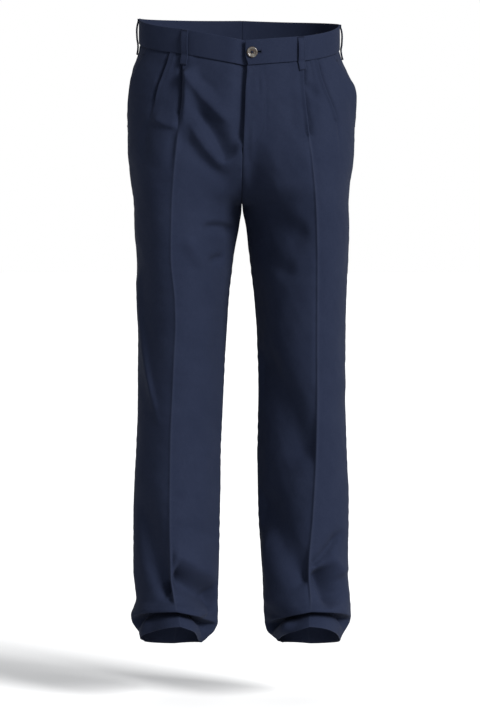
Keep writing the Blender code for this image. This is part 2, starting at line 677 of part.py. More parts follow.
def belt_loop(name, side, arc, finish, where):
    """A strip sewn down at the band's top edge and just under the waist seam, standing off between them."""
    line = ring(side, WAIST_SEAM)
    on_band = (BAND_WALL + LOOP_WALL) / 2 + SEAM_GAP
    stops = (
        (BAND_HEIGHT - 0.0005, on_band),
        (BAND_HEIGHT - 0.0050, on_band + 0.0004),
        (BAND_HEIGHT - 0.0110, on_band + 0.7 * LOOP_STAND_OFF),
        (BAND_HEIGHT / 2, on_band + LOOP_STAND_OFF),
        (0.0060, on_band + 0.8 * LOOP_STAND_OFF),
        (-0.0010, on_band + 0.0012),
    )
    rows = [
        [band_point(side, arc + across, height, out) for across in across_loop()] for height, out in stops
    ]
    on_panel = (CLOTH + LOOP_WALL) / 2 + 2 * SEAM_GAP
    for below, lift in ((0.5 * LOOP_BELOW_BAND, 0.0009), (LOOP_BELOW_BAND, 0.0004)):
        level = WAIST_SEAM + below
        pleat_top = pleat_at(side, "first", level)[1] / 2 if arc < line.marks["pleat"] else 0.0
        stretch = ring(side, level).marks["side"] / line.marks["side"]
        out = on_panel + pleat_top + lift
        rows.append([on_ring(side, level, (arc + across) * stretch, out) for across in across_loop()])
    return sheet(name, rows, LOOP_WALL, side == "right", finish, where)


def across_loop():
    return (-LOOP_WIDTH / 2, 0.0, LOOP_WIDTH / 2)


def on_band_frame(arc, out):
    """Axes on the left band at mid-height: x along the band, y across it, z out of the cloth."""
    point = band_point("left", arc, BAND_HEIGHT / 2, out)
    along = (band_point("left", arc + 0.002, BAND_HEIGHT / 2, out) - point).normalized()
    outward = along.cross(Vector((0, 0, 1))).normalized()
    axes = Matrix((along, outward.cross(along), outward)).transposed().to_4x4()
    return Matrix.Translation(point) @ axes


def turned(name, profile, steps, finish, where):
    """A body turned about Z from a profile of (radius, height) that runs down its outer side."""
    mesh = bpy.data.meshes.new(name)
    shape = bmesh.new()
    points = [shape.verts.new((radius, 0.0, height)) for radius, height in profile]
    for a, b in zip(points, points[1:]):
        shape.edges.new((a, b))
    shape.to_mesh(mesh)
    shape.free()
    made = add_object(name, mesh, finish, where)
    turn = made.modifiers.new("Turn", "SCREW")
    turn.steps = turn.render_steps = steps
    turn.use_merge_vertices = True
    turn.merge_threshold = 1e-5
    return made


def cylinder(shape, radius, length, sides, centre):
    bmesh.ops.create_cone(
        shape,
        cap_ends=True,
        segments=sides,
        radius1=radius,
        radius2=radius,
        depth=length,
        matrix=Matrix.Translation(centre),
    )


def solid_object(name, shape, finish, where):
    mesh = bpy.data.meshes.new(name)
    shape.to_mesh(mesh)
    shape.free()
    return add_object(name, mesh, finish, where)


def cut(made, cutter):
    cutter.hide_render = True
    cutter.display_type = "WIRE"
    hole = made.modifiers.new("Cut", "BOOLEAN")
    hole.operation = "DIFFERENCE"
    hole.solver = "EXACT"
    hole.object = cutter


def button(finish, where, cutters):
    """A four-hole button with a raised rim, lying on the left end of the waistband."""
    rim, edge = BUTTON_THICKNESS, BUTTON_RADIUS
    dish = 0.55 * rim
    profile = (
        (0.0, dish),
        (0.52 * edge, dish),
        (0.66 * edge, 0.86 * rim),
        (0.83 * edge, rim),
        (0.97 * edge, 0.75 * rim),
        (edge, 0.5 * rim),
        (0.93 * edge, 0.2 * rim),
        (0.70 * edge, 0.0),
        (0.0, 0.0),
    )
    made = turned("button", profile, 16, finish, where)
    shape = bmesh.new()
    for sign_x in (-1, 1):
        for sign_y in (-1, 1):
            reach = BUTTON_HOLE_CIRCLE / math.sqrt(2)
            centre = Vector((sign_x * reach, sign_y * reach, rim / 2))
            cylinder(shape, BUTTON_HOLE_RADIUS, 3 * rim, 8, centre)
    holes = solid_object("button_holes", shape, finish, cutters)
    cut(made, holes)
    seat = on_band_frame(BUTTON_FROM_EDGE, BAND_WALL / 2 + SEAM_GAP)
    made.matrix_world = holes.matrix_world = seat
    return made


def button_shank(finish, where):
    """The thread that holds the button, from its back through the buttonhole to the lower band."""
    top = BAND_WALL / 2
    bottom = -(BAND_WALL + 2 * SEAM_GAP) + BAND_WALL / 2 + SEAM_GAP
    shape = bmesh.new()
    cylinder(shape, SHANK_RADIUS, top - bottom, 12, Vector((0, 0, (top + bottom) / 2)))
    made = solid_object("button_shank", shape, finish, where)
    made.matrix_world = on_band_frame(BUTTON_FROM_EDGE, 0.0)
    return made


def buttonhole(band, finish, cutters):
    """A slot that starts beside the shank and runs away from the band's end."""
    shape = bmesh.new()
    bmesh.ops.create_cube(shape, size=1.0)
    bmesh.ops.scale(shape, vec=(SLOT_LENGTH, SLOT_HEIGHT, 6 * BAND_WALL), verts=shape.verts)
    slot = solid_object("buttonhole_slot", shape, finish, cutters)
    slot.matrix_world = on_band_frame(BUTTON_FROM_EDGE - SLOT_HEIGHT / 2 + SLOT_LENGTH / 2, 0.0)
    cut(band, slot)


def main():
    for old in list(bpy.data.objects):
        bpy.data.objects.remove(old)
    part = collection("pleated_chinos")
    cutters = collection("cutters")
    twill = material("navy_twill", (0.020, 0.030, 0.062), 0.85)
    horn = material("button_horn", (0.10, 0.085, 0.07), 0.35)
    thread = material("navy_thread", (0.015, 0.020, 0.040), 0.7)

    bands = {}
    for side in ("left", "right"):
        panel("front_" + side, "front", side, FRONT_LEVELS, front_columns, twill, part)
        panel("back_" + side, "back", side, BACK_LEVELS, back_columns, twill, part)
        panel("pocket_facing_" + side, "front", side, FACING_LEVELS, facing_columns, twill, part)
        bands[side] = waistband(side, twill, part)
        marks = ring(side, WAIST_SEAM).marks
        belt_loop("belt_loop_front_" + side, side, marks["front"] - 0.0045, twill, part)
        belt_loop("belt_loop_side_" + side, side, marks["side"] + 0.006, twill, part)
        back_arc = blend(marks["side"], marks["seat"], 0.52)
        belt_loop("belt_loop_back_" + side, side, back_arc, twill, part)
    belt_loop("belt_loop_centre_back", "left", ring("left", WAIST_SEAM).marks["seat"], twill, part)

    buttonhole(bands["left"], thread, cutters)
    button(horn, part, cutters)
    button_shank(thread, part)


main()
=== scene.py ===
"""The looks of the pleated chinos: fine cloth, seams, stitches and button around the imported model.

The part's frame is in metres: +Z is up, the front faces -Y and the wearer's left is +X. The tables below are
in millimetres. The cloth follows the level lines of the part: each is named by how far down the side seam it
lies, and is a chain of arcs between centre front, front crease, side seam, back crease and centre back.
"""

import math
from collections import namedtuple
from functools import cache, reduce

import bmesh
import bpy
import numpy as np
from mathutils import Matrix, Vector


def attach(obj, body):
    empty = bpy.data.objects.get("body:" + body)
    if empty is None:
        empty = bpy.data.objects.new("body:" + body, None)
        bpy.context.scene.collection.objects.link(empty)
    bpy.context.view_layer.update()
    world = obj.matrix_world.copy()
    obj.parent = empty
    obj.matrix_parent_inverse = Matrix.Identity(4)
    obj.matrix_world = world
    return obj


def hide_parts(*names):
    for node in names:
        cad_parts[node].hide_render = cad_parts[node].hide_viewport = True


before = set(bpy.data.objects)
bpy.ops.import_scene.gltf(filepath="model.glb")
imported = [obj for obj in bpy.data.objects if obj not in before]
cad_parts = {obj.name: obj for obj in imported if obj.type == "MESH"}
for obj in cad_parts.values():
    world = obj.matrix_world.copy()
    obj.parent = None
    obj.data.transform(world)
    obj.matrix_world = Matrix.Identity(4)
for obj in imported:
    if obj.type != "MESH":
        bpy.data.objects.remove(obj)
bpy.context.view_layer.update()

SIDES = ("left", "right")
OTHER = {"left": "right", "right": "left"}
MIRROR = {"left": 1, "right": -1}

# ---- sizes of the garment ----
BAND_WALL = 0.0020
PANEL_WALL = 0.0010
SEAM_GAP = 0.0003
LAYER_STEP = 0.0018
BAND_HEIGHT = 0.040
BAND_OFFSET = 0.0008
BAND_UNDERLAP = 0.036
WAIST_SEAM = BAND_HEIGHT / 2
HEM = 1.000
FLY_END = 0.185
FLY_RISE = 0.015
FLY_UNDERLAP = 0.014
FLY_TUCK_REACH = 0.030
CROTCH = 0.2755
RISE_TOP = 0.140
RISE_POWER = 2.2
INSEAM_TURN = 66  # the pressed front meets the inseam at this angle
CREASE_EASE = 0.4  # and runs flatter into the crease on its inner side
POCKET_END = 0.150
POCKET_MOUTH_AT_WAIST = 0.036
POCKET_GAPE = {"left": 0.0045, "right": 0.0015}
POCKET_GAPE_REACH = 0.035
FACING_HIDDEN = 0.018
PLEAT_REACH_IN = 0.026
PLEAT_REACH_OUT = 0.012
LOOP_WIDTH = 0.012
LOOP_WALL = 0.0016
LOOP_BELOW_BAND = 0.018
LOOP_STAND_OFF = 0.0030
FRONT_LOOP_INSIDE = 0.0045  # the front crease
SIDE_LOOP_BEHIND = 0.006  # the side seam
BACK_LOOP_SHARE = 0.52  # of the way from the side seam to the seat seam
BUTTON_RADIUS = 0.0087
BUTTON_THICKNESS = 0.0030
BUTTON_HOLE_RADIUS = 0.0010
BUTTON_HOLE_CIRCLE = 0.0021
BUTTON_FROM_EDGE = 0.011
HOLE_REACH = BUTTON_HOLE_CIRCLE / math.sqrt(2)
DISH = 0.55  # of the button's thickness is left in its dished middle
SHANK_RADIUS = 0.0011
SHANK_STRANDS = 9
SHANK_TWIST = 0.9
SHANK_STRANDS_AT = 0.62 * SHANK_RADIUS
SLOT_LENGTH = 0.016
SLOT_HEIGHT = 0.0036
SLOT_SHOWN = 0.55 * SLOT_HEIGHT  # the fine cloth's buttonhole closes to this


def table(columns, *rows, per=1000):
    """Named rows: how far down in millimetres, then millimetres too, or plain values where per is 1."""
    Row = namedtuple("Row", "down " + columns)
    return tuple(Row(row[0] / 1000, *(value / per for value in row[1:])) for row in rows)


# The lift of the level lines at each key place, below 0 where they sag.
LIFT_COLUMNS = "centre front side back seat"
WAIST_LIFTS = {
    "left": table(
        LIFT_COLUMNS,
        (20, -32, -24, 0, 9, 13),
        (80, -19, -15, 0, 6, 9),
    ),
    "right": table(
        LIFT_COLUMNS,
        (20, -32, -12.5, 10, 12, 13),
        (80, -19, -9.5, 6, 8, 9),
    ),
}
LIFTS = table(
    LIFT_COLUMNS,
    (150, -4, -3, 0, 0, 0),
    (200, 0, 0, 0, 0, 0),
    (890, 0, 0, 0, 0, 0),
    (925, -4, 3, -1, -2, -4),
    (940, -10, 10, -1.5, -4, -10),
    (947, -12, 12.5, -3, -6, -12),
    (950, -13, 12.8, -4, -7, -13),
    (953, -13.5, 15, -4.5, -8, -13.5),
    (957, -13.5, 22, -6, -10, -13.5),
    (961, -13, 26.5, -7, -12, -13),
    (966, -13, 27.5, -7.5, -14, -13),
    (980, -10, 29.5, -6.5, -16, -10),
    (1000, 0, 38.4, 2, -13, 0),
)
# How far in front (-) of the middle plane, or behind it, the key places lie.
DEPTHS = table(
    "centre front side back seat",
    (20, -107, -85, 0, 88, 106),
    (60, -111, -92, 0, 98, 112),
    (100, -115, -101, 2, 110, 121),
    (150, -118, -109, 3, 124, 131),
    (200, -118, -114, 3, 131, 132),
    (250, -116, -114, 3, 127, 128),
    (290, -114, -112, 3, 118, 122),
    (358, -105, -105, 3, 106, 110),
    (470, -94, -94, 3, 96, 96),
    (581, -85, -85, 2, 86, 86),
    (700, -79, -79, 3, 85, 85),
    (820, -74, -74, 5, 82, 82),
    (900, -73, -73, 6, 80, 80),
    (925, -77, -77, 6, 80, 80),
    (940, -84, -84, 6, 82, 82),
    (947, -87, -87, 6, 84.5, 84.5),
    (950, -86.8, -86.8, 6, 85.5, 85.5),
    (953, -84.5, -84.5, 6, 85.5, 85.5),
    (957, -79, -79, 6, 84.5, 84.5),
    (961, -74.5, -74.5, 6, 83, 83),
    (966, -72.2, -72.2, 6, 82, 82),
    (980, -79, -79, 5, 83, 83),
    (1000, -90, -90, 5, 85, 85),
)
# The lines' headings at the creases, and how far they turn there either side of that, in degrees.
TURNS = table(
    "front front_fold back back_fold",
    (20, 27, 0, 22, 0),
    (100, 20, 0, 15, 0),
    (200, 8, 5, 6, 0),
    (300, 0, 12, 0, 6),
    (430, 0, 17, 0, 14),
    (600, 0, 20, 0, 18),
    (800, 0, 18, 0, 16),
    (900, 0, 12, 0, 12),
    (953, 0, 4, 0, 8),
    (1000, 0, 10, 0, 12),
    per=1,
)
# How far from the middle the side seam, the centre front and inseam, the creases and the second pleat lie.
WIDTH_COLUMNS = "outer inner crease pleat back_crease"
WIDTHS = {
    "left": table(
        WIDTH_COLUMNS,
        (20, 159, 5, 98.5, 120, 88),
        (36, 163, 5, 98.5, 123, 88),
        (56, 172, 5, 98.8, 128, 89),
        (80, 182.5, 4.7, 100, 135, 91),
        (100, 185, 4.3, 101.7, 142, 93),
        (125, 184.8, 3.6, 104, 149, 95),
        (155, 185, 2.6, 107, 154, 97),
        (185, 184.5, 1.3, 110.5, 156, 99),
        (215, 182, 0.5, 114, 156, 99),
        (245, 176.5, 0.1, 117, 154, 99),
        (275.5, 175, 0, 119.5, 152, 97),
        (313.5, 176.5, 6.5, 121, 152, 97),
        (358, 175, 11.5, 122, 152, 97),
        (432, 171.5, 20, 122, 150, 98),
        (506.5, 170, 25, 122, 149, 99),
        (581, 170, 26.5, 122.5, 149, 99),
        (680, 173, 25, 121, 150, 100),
        (779, 176.5, 26.5, 116, 150, 102),
        (878, 175, 33, 109, 147, 104),
        (925, 179, 35, 112, 149, 106),
        (940, 180, 36, 112, 149, 107),
        (950, 180.5, 37, 112, 150, 108),
        (957, 179.5, 38, 111.7, 150, 109),
        (966, 175.5, 40, 111.2, 148, 110),
        (980, 167, 51, 110, 142, 112),
        (1000, 162, 66, 109.5, 138, 114),
    ),
    "right": table(
        WIDTH_COLUMNS,
        (20, 167.5, -5, 95, 116, 90),
        (36, 170, -5, 95, 120, 90),
        (56, 178, -5, 95, 127, 91),
        (80, 184, -4.7, 95.7, 135, 93),
        (100, 186.8, -4.3, 96.5, 140, 95),
        (125, 188, -3.6, 99.5, 146, 97),
        (155, 188, -2.6, 102.5, 151, 99),
        (185, 188, -1.3, 105.5, 153, 100),
        (215, 185, -0.5, 108.5, 153, 100),
        (245, 181.5, -0.1, 111, 152, 100),
        (275.5, 178, 0, 113, 151, 98),
        (313.5, 177, 5, 114, 151, 97),
        (358, 173.5, 13, 114.5, 150, 98),
        (432, 171.5, 21.5, 108.3, 147, 98),
        (468, 171.3, 24.2, 107.3, 147, 99),
        (506.5, 171.5, 26.5, 109, 147, 100),
        (581, 171.5, 30, 112.7, 148, 101),
        (680, 175, 34.5, 116.5, 150, 105),
        (779, 179.5, 36, 117.5, 153, 108),
        (878, 180, 38, 116, 153, 109),
        (925, 175.5, 39.5, 110, 150, 109),
        (940, 179.5, 39.5, 108, 150, 109),
        (950, 184, 39.5, 107, 151, 110),
        (957, 183, 40.5, 106.2, 151, 110),
        (966, 178, 44, 105.3, 149, 111),
        (980, 168, 55, 103, 142, 112),
        (1000, 162, 66.5, 100, 138, 114),
    ),
}
# How deep each pleat is folded under, below 0 once it has opened, and how far its layers stand apart.
PLEATS = {
    ("left", "first"): table(
        "depth step",
        (20, 9, 3.6), (110, 7.5, 3.6), (147, 4.5, 3.6), (160, 2.6, 3.6), (175, -6, 3), (200, -8, 0),
    ),
    ("left", "second"): table(
        "depth step", (20, 8, 3.6), (110, 5, 3.6), (134, 2.6, 3.6), (147, -6, 3.6), (175, -8, 2), (200, -8, 0)
    ),
    ("right", "first"): table(
        "depth step", (20, 9, 3.6), (98, 7, 3.6), (122, 2.6, 3.6), (134, -6, 3), (175, -8, 0)
    ),
    ("right", "second"): table(
        "depth step", (20, 8, 3.6), (82, 6, 3.6), (98, 2.6, 3.6), (110, -6, 3), (147, -8, 0)
    ),
}

# ---- sizes of the fine cloth ----
CLOTH = 0.0006
ROW_STEP = 0.0030
BREAK_STEP = 0.0012
BREAK_TOP = 0.930
ARC_STEPS = 40  # on each arc of a level line
REACH_PAST = 0.05  # how far a level line is known past the middle or the inseam
APART = 1e-7  # between points of two joined lines, so that their arcs always rise
PLAIN_COLUMNS = 42
BETWEEN_COLUMNS = 12
OUTER_COLUMNS = 27
FACING_COLUMNS = 24
BACK_COLUMNS = (34, 40)  # up to the back crease, and on from there
SEWN_GAP = 0.00035  # from a seam to the middle of the cloth that turns in there
EDGE_CLEAR = 0.0042  # from a turned edge to the first plain point
ALLOWANCE = 0.009  # how far an edge runs back inside, at a seam or under itself
TURN_UP = 0.0060  # how far the cloth's top edge stands up inside the waistband
BAND_BITE = 0.0013  # how far the cloth sinks where the waistband grips it
BAND_BITE_REACH = 0.004
BAND_HOLDS, BAND_FLATTENS = 0.03, 0.02  # waves and puckers are full only this far under the band
SEAM_HOLDS = 0.008  # and waves only this far from a seam
UNDER_STEP = 0.0011
SEAT_FELL = 0.0020  # the seat seam is felled to one side
FACING_EDGE = 0.0015  # below its sewn part the facing ends this far before the side seam

# A panel's edge in (distance from the edge, out): the allowance turns back inside, or crosses under the panel
# beyond the seam; then comes the roll at the seam. A free edge turns back under itself.
TURNED_BACK = np.array(((ALLOWANCE, -0.0017), (0.0014, -0.0019)))
CROSSING = np.array(((-0.0050, -0.0031), (0.0, -0.0027)))
SEAM_ROLL = np.array(((0.0001, -0.0014), (0.0001, -0.0007), (0.0015, -0.0001)))
FREE_EDGE = np.array((
    (ALLOWANCE, -UNDER_STEP), (UNDER_STEP, -UNDER_STEP), (0.0001, -0.8 * UNDER_STEP),
    (0.0001, -0.2 * UNDER_STEP), (UNDER_STEP, 0.0),
))

FLY_SAG = 0.0064  # the lower front sags away under the fly's edge
FLY_SAG_REACH = 0.022
FLY_STANDS = 0.0009  # and the edge on top of it stands up a little
FLY_STANDS_REACH = 0.012
FLY_DRAWN = 0.0024  # the edge draws back this far where the band ends above it
FLY_DRAWN_TO = 0.075

PLEAT_NAMES = (("first", "front"), ("second", "pleat"))  # and the key places where their edges lie
PLEAT_CLOSING = 0.0026  # a pleat less deep than this is on its way from folded to open
PLEAT_BEFORE, PLEAT_AFTER = 0.0022, 0.0015  # from the plain points to a pleat's own
FOLD_POINTS = 13
LEAD_POINTS = 5
OPEN_LEAD, FOLDED_LEAD = (0.0008, 0.0002), (0.0012, 0.0004)  # from the fold to its first and last lead points
EDGE_LIFTS = {"left": 0.0026, "right": 0.0010}  # how far a pleat's folded edge stands up
EDGE_LIFT_REACH = 0.0034
DIPS = {"left": 0.0042, "right": 0.0060}  # how far the cloth dips beside that edge
DIP_REACH = 0.0048

CREASE_RIDGES = {"front": {"left": 0.0019, "right": 0.0010}, "back": {"left": 0.0007, "right": 0.0007}}
CREASE_REACH = 0.0024
CREASE_POWER = 1.6
CREASE_TOP, CREASE_END = 0.115, 0.950
CREASE_STARTS, CREASE_FADES = 0.07, 0.04  # the lengths over which it grows and dies away
HEM_TUCK = {"front": 0.0215, "back": 0.0050}  # how far the cloth tucks in under its break over the shoe
HEM_TUCK_AT = 0.9585
HEM_TUCK_REACHES = (0.0026, 0.0125)  # above and below
TUCK_FREE_SIDE, TUCK_FREE_MIDDLE = 0.018, 0.016  # it is full this far from the side seam and the inseam
RISE_SEAM_STARTS = 0.02  # over this length below the rise's top the middle seam comes to hold the folds
CROTCH_EASE = 0.070
CROTCH_SOFT = 0.014

FOLD_SAMPLES = 16
FOLD_REACH = 2.8  # widths from a fold's line at which it has died away
FOLD_FREE_EDGE = 0.016
PLANE_EDGE = 0.008  # how close to the crease a plane's folds come at full height
TROUGH_POWER, RIDGE_POWER = 2.0, 1.7

# Faint unevenness all over: waves of these lengths and heights, in directions a golden angle apart.
Wave = namedtuple("Wave", "length height count")
WAVES = (Wave(0.085, 0.00042, 5), Wave(0.034, 0.00020, 7), Wave(0.013, 0.00006, 7))
GOLDEN_ANGLE = math.pi * (3 - math.sqrt(5))
SEEDS = {("front", "left"): 1.3, ("front", "right"): 4.1, ("back", "left"): 3.5, ("back", "right"): 6.3}
PUCKER_LENGTH = 0.019
PUCKER_SWELL = 0.137  # the length over which they come and go
PUCKER_HEIGHT = 0.00035
PUCKER_REACH = 0.009

BAND_ROWS = 15
BAND_STEPS = {"left": 130, "right": 142}
BAND_CROWN, BAND_UNEVEN = 0.0003, 0.0003
BAND_BEVEL, LOOP_BEVEL = 0.0007, 0.0006
LAP_SAG = 0.0048  # the underlap sags away from the end that laps over it
LAP_CORNER = 0.0040  # the lap's lower corner is cut back
LAP_DROP = BAND_WALL + 2 * SEAM_GAP  # from the lap down to the band under it
LOOP_ROWS = 34
LOOP_COLUMNS = 9

STITCH, STITCH_GAP, STITCH_RADIUS = 0.0026, 0.0009, 0.00022
BAR_RADIUS = 0.00028
EDGING_RADIUS = 0.00024
STRAND_RADIUS, SHANK_STRAND_RADIUS = 0.00022, 0.0003

# ---- the creases and drape of the worn cloth ----
# Soft troughs (-) and ridges (+) that run from one point through a second to a third. x is to the wearer's
# left of the middle, and z up. left and right are the widths on either hand as a fold runs, and fade and die
# the shares of it that rise and die away. It lies on the plane inside the leg's crease, outside it, or both.
Fold = namedtuple("Fold", "x0 z0 x1 z1 x2 z2 left right height fade die")


def folds(*rows):
    """Folds from rows of nine millimetres and two shares."""
    return [Fold(*(value / 1000 for value in row[:9]), *row[9:]) for row in rows]


FOLDS = {
    ("front", "inner"): folds(
        # below the right pleats, towards the fly
        (-93, -55, -58, -109, -12, -150, 14, 8, 7, 0.06, 0.25),
        (-78, -66, -56, -82, -30, -106, 8, 7, -2.4, 0.3, 0.4),
        (-82, -112, -52, -154, -22, -208, 19, 7, -12.5, 0.3, 0.1),
        (-86, -138, -60, -184, -22, -226, 11, 6, 4.2, 0.2, 0.25),
        (-91, -154, -71, -196, -5, -243, 11, 16, -6.8, 0.3, 0.25),
        (-93.5, -56, -94, -100, -97.5, -160, 12, 5, 7.5, 0.1, 0.4),
        (-70, -315, -40, -310, -8, -317, 6, 9, -7.2, 0.4, 0.2),
        (-94, -322, -80, -350, -66, -386, 14, 10, 5.2, 0.4, 0.4),
        (-56, -372, -42, -364, -28, -361, 7, 7, -5.4, 0.4, 0.3),
        # the right leg above the hem
        (-118, -884, -86, -900, -34, -930, 20, 18, -23.5, 0.1, 0.05),
        (-60, -945, -58, -975, -56, -1010, 12, 8, -8, 0.2, 0.3),
        (-116, -846, -78, -864, -36, -908, 12, 14, 6, 0.15, 0.05),
        (-100, -785, -70, -812, -40, -816, 12, 12, -2.6, 0.3, 0.4),
        # the left leg from the crotch down
        (30, -256, 74, -308, 113, -328, 14, 26, -8, 0.35, 0.35),
        (44, -155, 56, -215, 64, -275, 42, 24, 8, 0.55, 0.25),
        (12, -165, 14, -210, 18, -300, 16, 12, -4.5, 0.5, 0.4),
        (64, -320, 66, -450, 76, -600, 46, 26, 8.5, 0.25, 0.25),
        (28, -332, 56, -370, 94, -388, 16, 12, -6.2, 0.3, 0.3),
        (30, -500, 66, -588, 112, -705, 24, 30, -10.5, 0.25, 0.14),
        (26, -735, 66, -824, 111, -892, 26, 18, -12, 0.2, 0.08),
        (46, -790, 48, -860, 50, -950, 40, 12, 12, 0.35, 0.15),
        (32, -795, 52, -862, 94, -918, 12, 18, 1.8, 0.3, 0.2),
        (40, -868, 46, -902, 50, -932, 6, 6, -2, 0.4, 0.3),
        (78, -950, 75, -985, 70, -1020, 8, 22, 13, 0.15, 0.3),
        # the left front
        (48, -105, 80, -163, 112, -222, 14, 18, 2.2, 0.3, 0.2),
        (50, -131, 69, -142, 88, -153, 10, 10, -1.2, 0.4, 0.4),
        (15.5, -135, 15.5, -180, 15, -226, 5, 5, 1.4, 0.3, 0.3),
        (38, -55, 38.5, -115, 38, -175, 3.5, 3.5, -0.8, 0.2, 0.4),
        (27.5, -64, 28, -84, 28.5, -105, 3, 4, -1.2, 0.4, 0.4),
    ),
    ("front", "outer"): folds(
        # the right leg
        (-147, -133, -122, -147, -100, -150, 12, 4, 4.8, 0.2, 0.1),
        (-151, -136, -159, -175, -161, -235, 10, 9, -2.6, 0.2, 0.5),
        (-178, -152, -168, -141, -156, -130, 7, 7, -1.6, 0.4, 0.3),
        (-166, -372, -158, -510, -131, -645, 3.8, 7, 5.2, 0.12, 0.3),
        (-170, -715, -152, -840, -115, -912, 27, 13, -11.8, 0.35, 0.06),
        (-124, -886, -116.5, -904, -112, -928, 4.5, 14, -8.5, 0.3, 0.2),
        (-158, -950, -157, -985, -154, -1020, 8, 12, 8, 0.15, 0.3),
        (-108, -150, -112.5, -185, -117, -240, 6, 8, -2.6, 0.3, 0.5),
        # the left leg
        (112, -866, 142, -840, 168, -804, 10, 5, -9.5, 0.1, 0.3),
        (138, -850, 157, -866, 168, -892, 10, 14, 8, 0.3, 0.3),
        (114, -868, 133, -900, 150, -936, 20, 10, -26, 0.25, 0.25),
        (148, -545, 163, -563, 170, -592, 8, 10, 1.4, 0.4, 0.4),
        # the left front
        (101, -80, 111, -91, 124, -106, 8, 7, -4.6, 0.2, 0.4),
        (112, -112, 117, -122, 122, -136, 5, 5, -1.6, 0.4, 0.4),
        (116, -100, 130, -140, 138, -190, 10, 12, 2.4, 0.3, 0.4),
    ),
    ("back", "inner"): folds(
        (-18, -262, -70, -302, -134, -322, 16, 12, -5, 0.25, 0.3),
        (18, -256, 66, -304, 138, -330, 12, 16, -5.5, 0.25, 0.3),
        (-28, -318, -76, -352, -126, -362, 16, 12, -4, 0.3, 0.35),
        (28, -325, 80, -352, 130, -371, 12, 16, -3.5, 0.3, 0.35),
        (-22, -292, -70, -328, -120, -342, 10, 10, 2.4, 0.3, 0.4),
        (24, -290, 72, -330, 128, -350, 10, 10, 2.6, 0.3, 0.4),
        (-42, -770, -74, -850, -104, -900, 18, 12, -5, 0.3, 0.12),
        (40, -790, 74, -862, 102, -906, 12, 18, -5.8, 0.3, 0.12),
        (-10, -80, -40, -104, -82, -112, 12, 12, -1.2, 0.3, 0.4),
        (12, -90, 44, -112, 80, -116, 12, 12, -1.2, 0.3, 0.4),
    ),
    ("back", "outer"): folds(
        (-168, -250, -140, -296, -100, -330, 12, 12, -2.4, 0.3, 0.4),
        (168, -262, 142, -300, 104, -345, 12, 12, -2.6, 0.3, 0.4),
        (-162, -790, -132, -850, -104, -902, 12, 18, -5.8, 0.3, 0.12),
        (162, -800, 134, -858, 108, -896, 18, 12, -5.4, 0.3, 0.12),
    ),
    ("back", "both"): folds(
        (-154, -515, -110, -560, -46, -575, 18, 12, -5, 0.3, 0.3),
        (44, -528, 104, -565, 154, -572, 12, 18, -5, 0.3, 0.3),
        (-150, -560, -100, -592, -52, -600, 10, 10, 2.4, 0.3, 0.4),
        (50, -556, 104, -590, 150, -604, 10, 10, 2.2, 0.3, 0.4),
        (-148, -614, -112, -640, -60, -640, 12, 12, -2.2, 0.4, 0.4),
        (-150, -886, -110, -918, -52, -912, 10, 12, -3, 0.3, 0.3),
        (52, -900, 106, -922, 156, -905, 10, 12, -3.2, 0.3, 0.3),
    ),
}


# ---- level lines ----
def smooth(rows, name, down):
    """A table column at any level, on cubics that never overshoot its rows."""
    keys = [row.down for row in rows]
    values = [getattr(row, name) for row in rows]
    if down <= keys[0]:
        return values[0]
    if down >= keys[-1]:
        return values[-1]
    slopes = [(values[i + 1] - values[i]) / (keys[i + 1] - keys[i]) for i in range(len(keys) - 1)]

    def tangent(i):
        before, after = slopes[max(i - 1, 0)], slopes[min(i, len(slopes) - 1)]
        return 0.0 if before * after <= 0 else 2 * before * after / (before + after)

    i = next(i for i in range(len(slopes)) if down <= keys[i + 1])
    step = keys[i + 1] - keys[i]
    t = (down - keys[i]) / step
    ease = t * t * (3 - 2 * t)
    bend = step * (t * (1 - t) ** 2 * tangent(i) - t * t * (1 - t) * tangent(i + 1))
    return values[i] + ease * (values[i + 1] - values[i]) + bend


def ramp(t):
    """0 below 0, 1 above 1, and smooth between, for a number or an array."""
    t = np.clip(t, 0.0, 1.0)
    return t * t * (3 - 2 * t)


def until(place, stop, over):
    """1 far before a place, and falling to 0 there over this distance."""
    return float(ramp((stop - place) / over))


def since(place, start, over):
    """0 up to a place, and rising to 1 over this distance from there."""
    return float(ramp((place - start) / over))


def blend(start, end, share):
    return start + share * (end - start)


def bell(away, reach, power=2):
    """1 at no distance, and dying away about a reach from there."""
    return np.exp(-(np.abs(away) / reach) ** power)


def heading(degrees):
    return np.array((math.cos(math.radians(degrees)), math.sin(math.radians(degrees))))


def lengths_along(points, axis):
    """How far along its rows (axis 1) or columns (axis 0) each point of a grid or a line lies."""
    steps = np.linalg.norm(np.diff(points, axis=axis), axis=-1)
    return np.insert(np.cumsum(steps, axis=axis), 0, 0.0, axis=axis)


def arc_between(start, start_heading, end, end_heading):
    """Points and headings on the near-circular cubic that leaves and arrives on the given headings."""
    turn = math.radians(abs(end_heading - start_heading))
    share = 1 / 3 if turn < 0.01 else (2 / 3) * math.tan(turn / 4) / math.sin(turn / 2)
    handle = share * np.linalg.norm(end - start)
    a, d = start, end
    b = a + handle * heading(start_heading)
    c = d - handle * heading(end_heading)
    t = np.linspace(0, 1, ARC_STEPS + 1)[:, None]
    s = 1 - t
    points = s**3 * a + 3 * s * s * t * b + 3 * s * t * t * c + t**3 * d
    along = s * s * (b - a) + 2 * s * t * (c - b) + t * t * (d - c)
    return points, along / np.linalg.norm(along, axis=1)[:, None]


Line = namedtuple("Line", "arcs points normals marks")


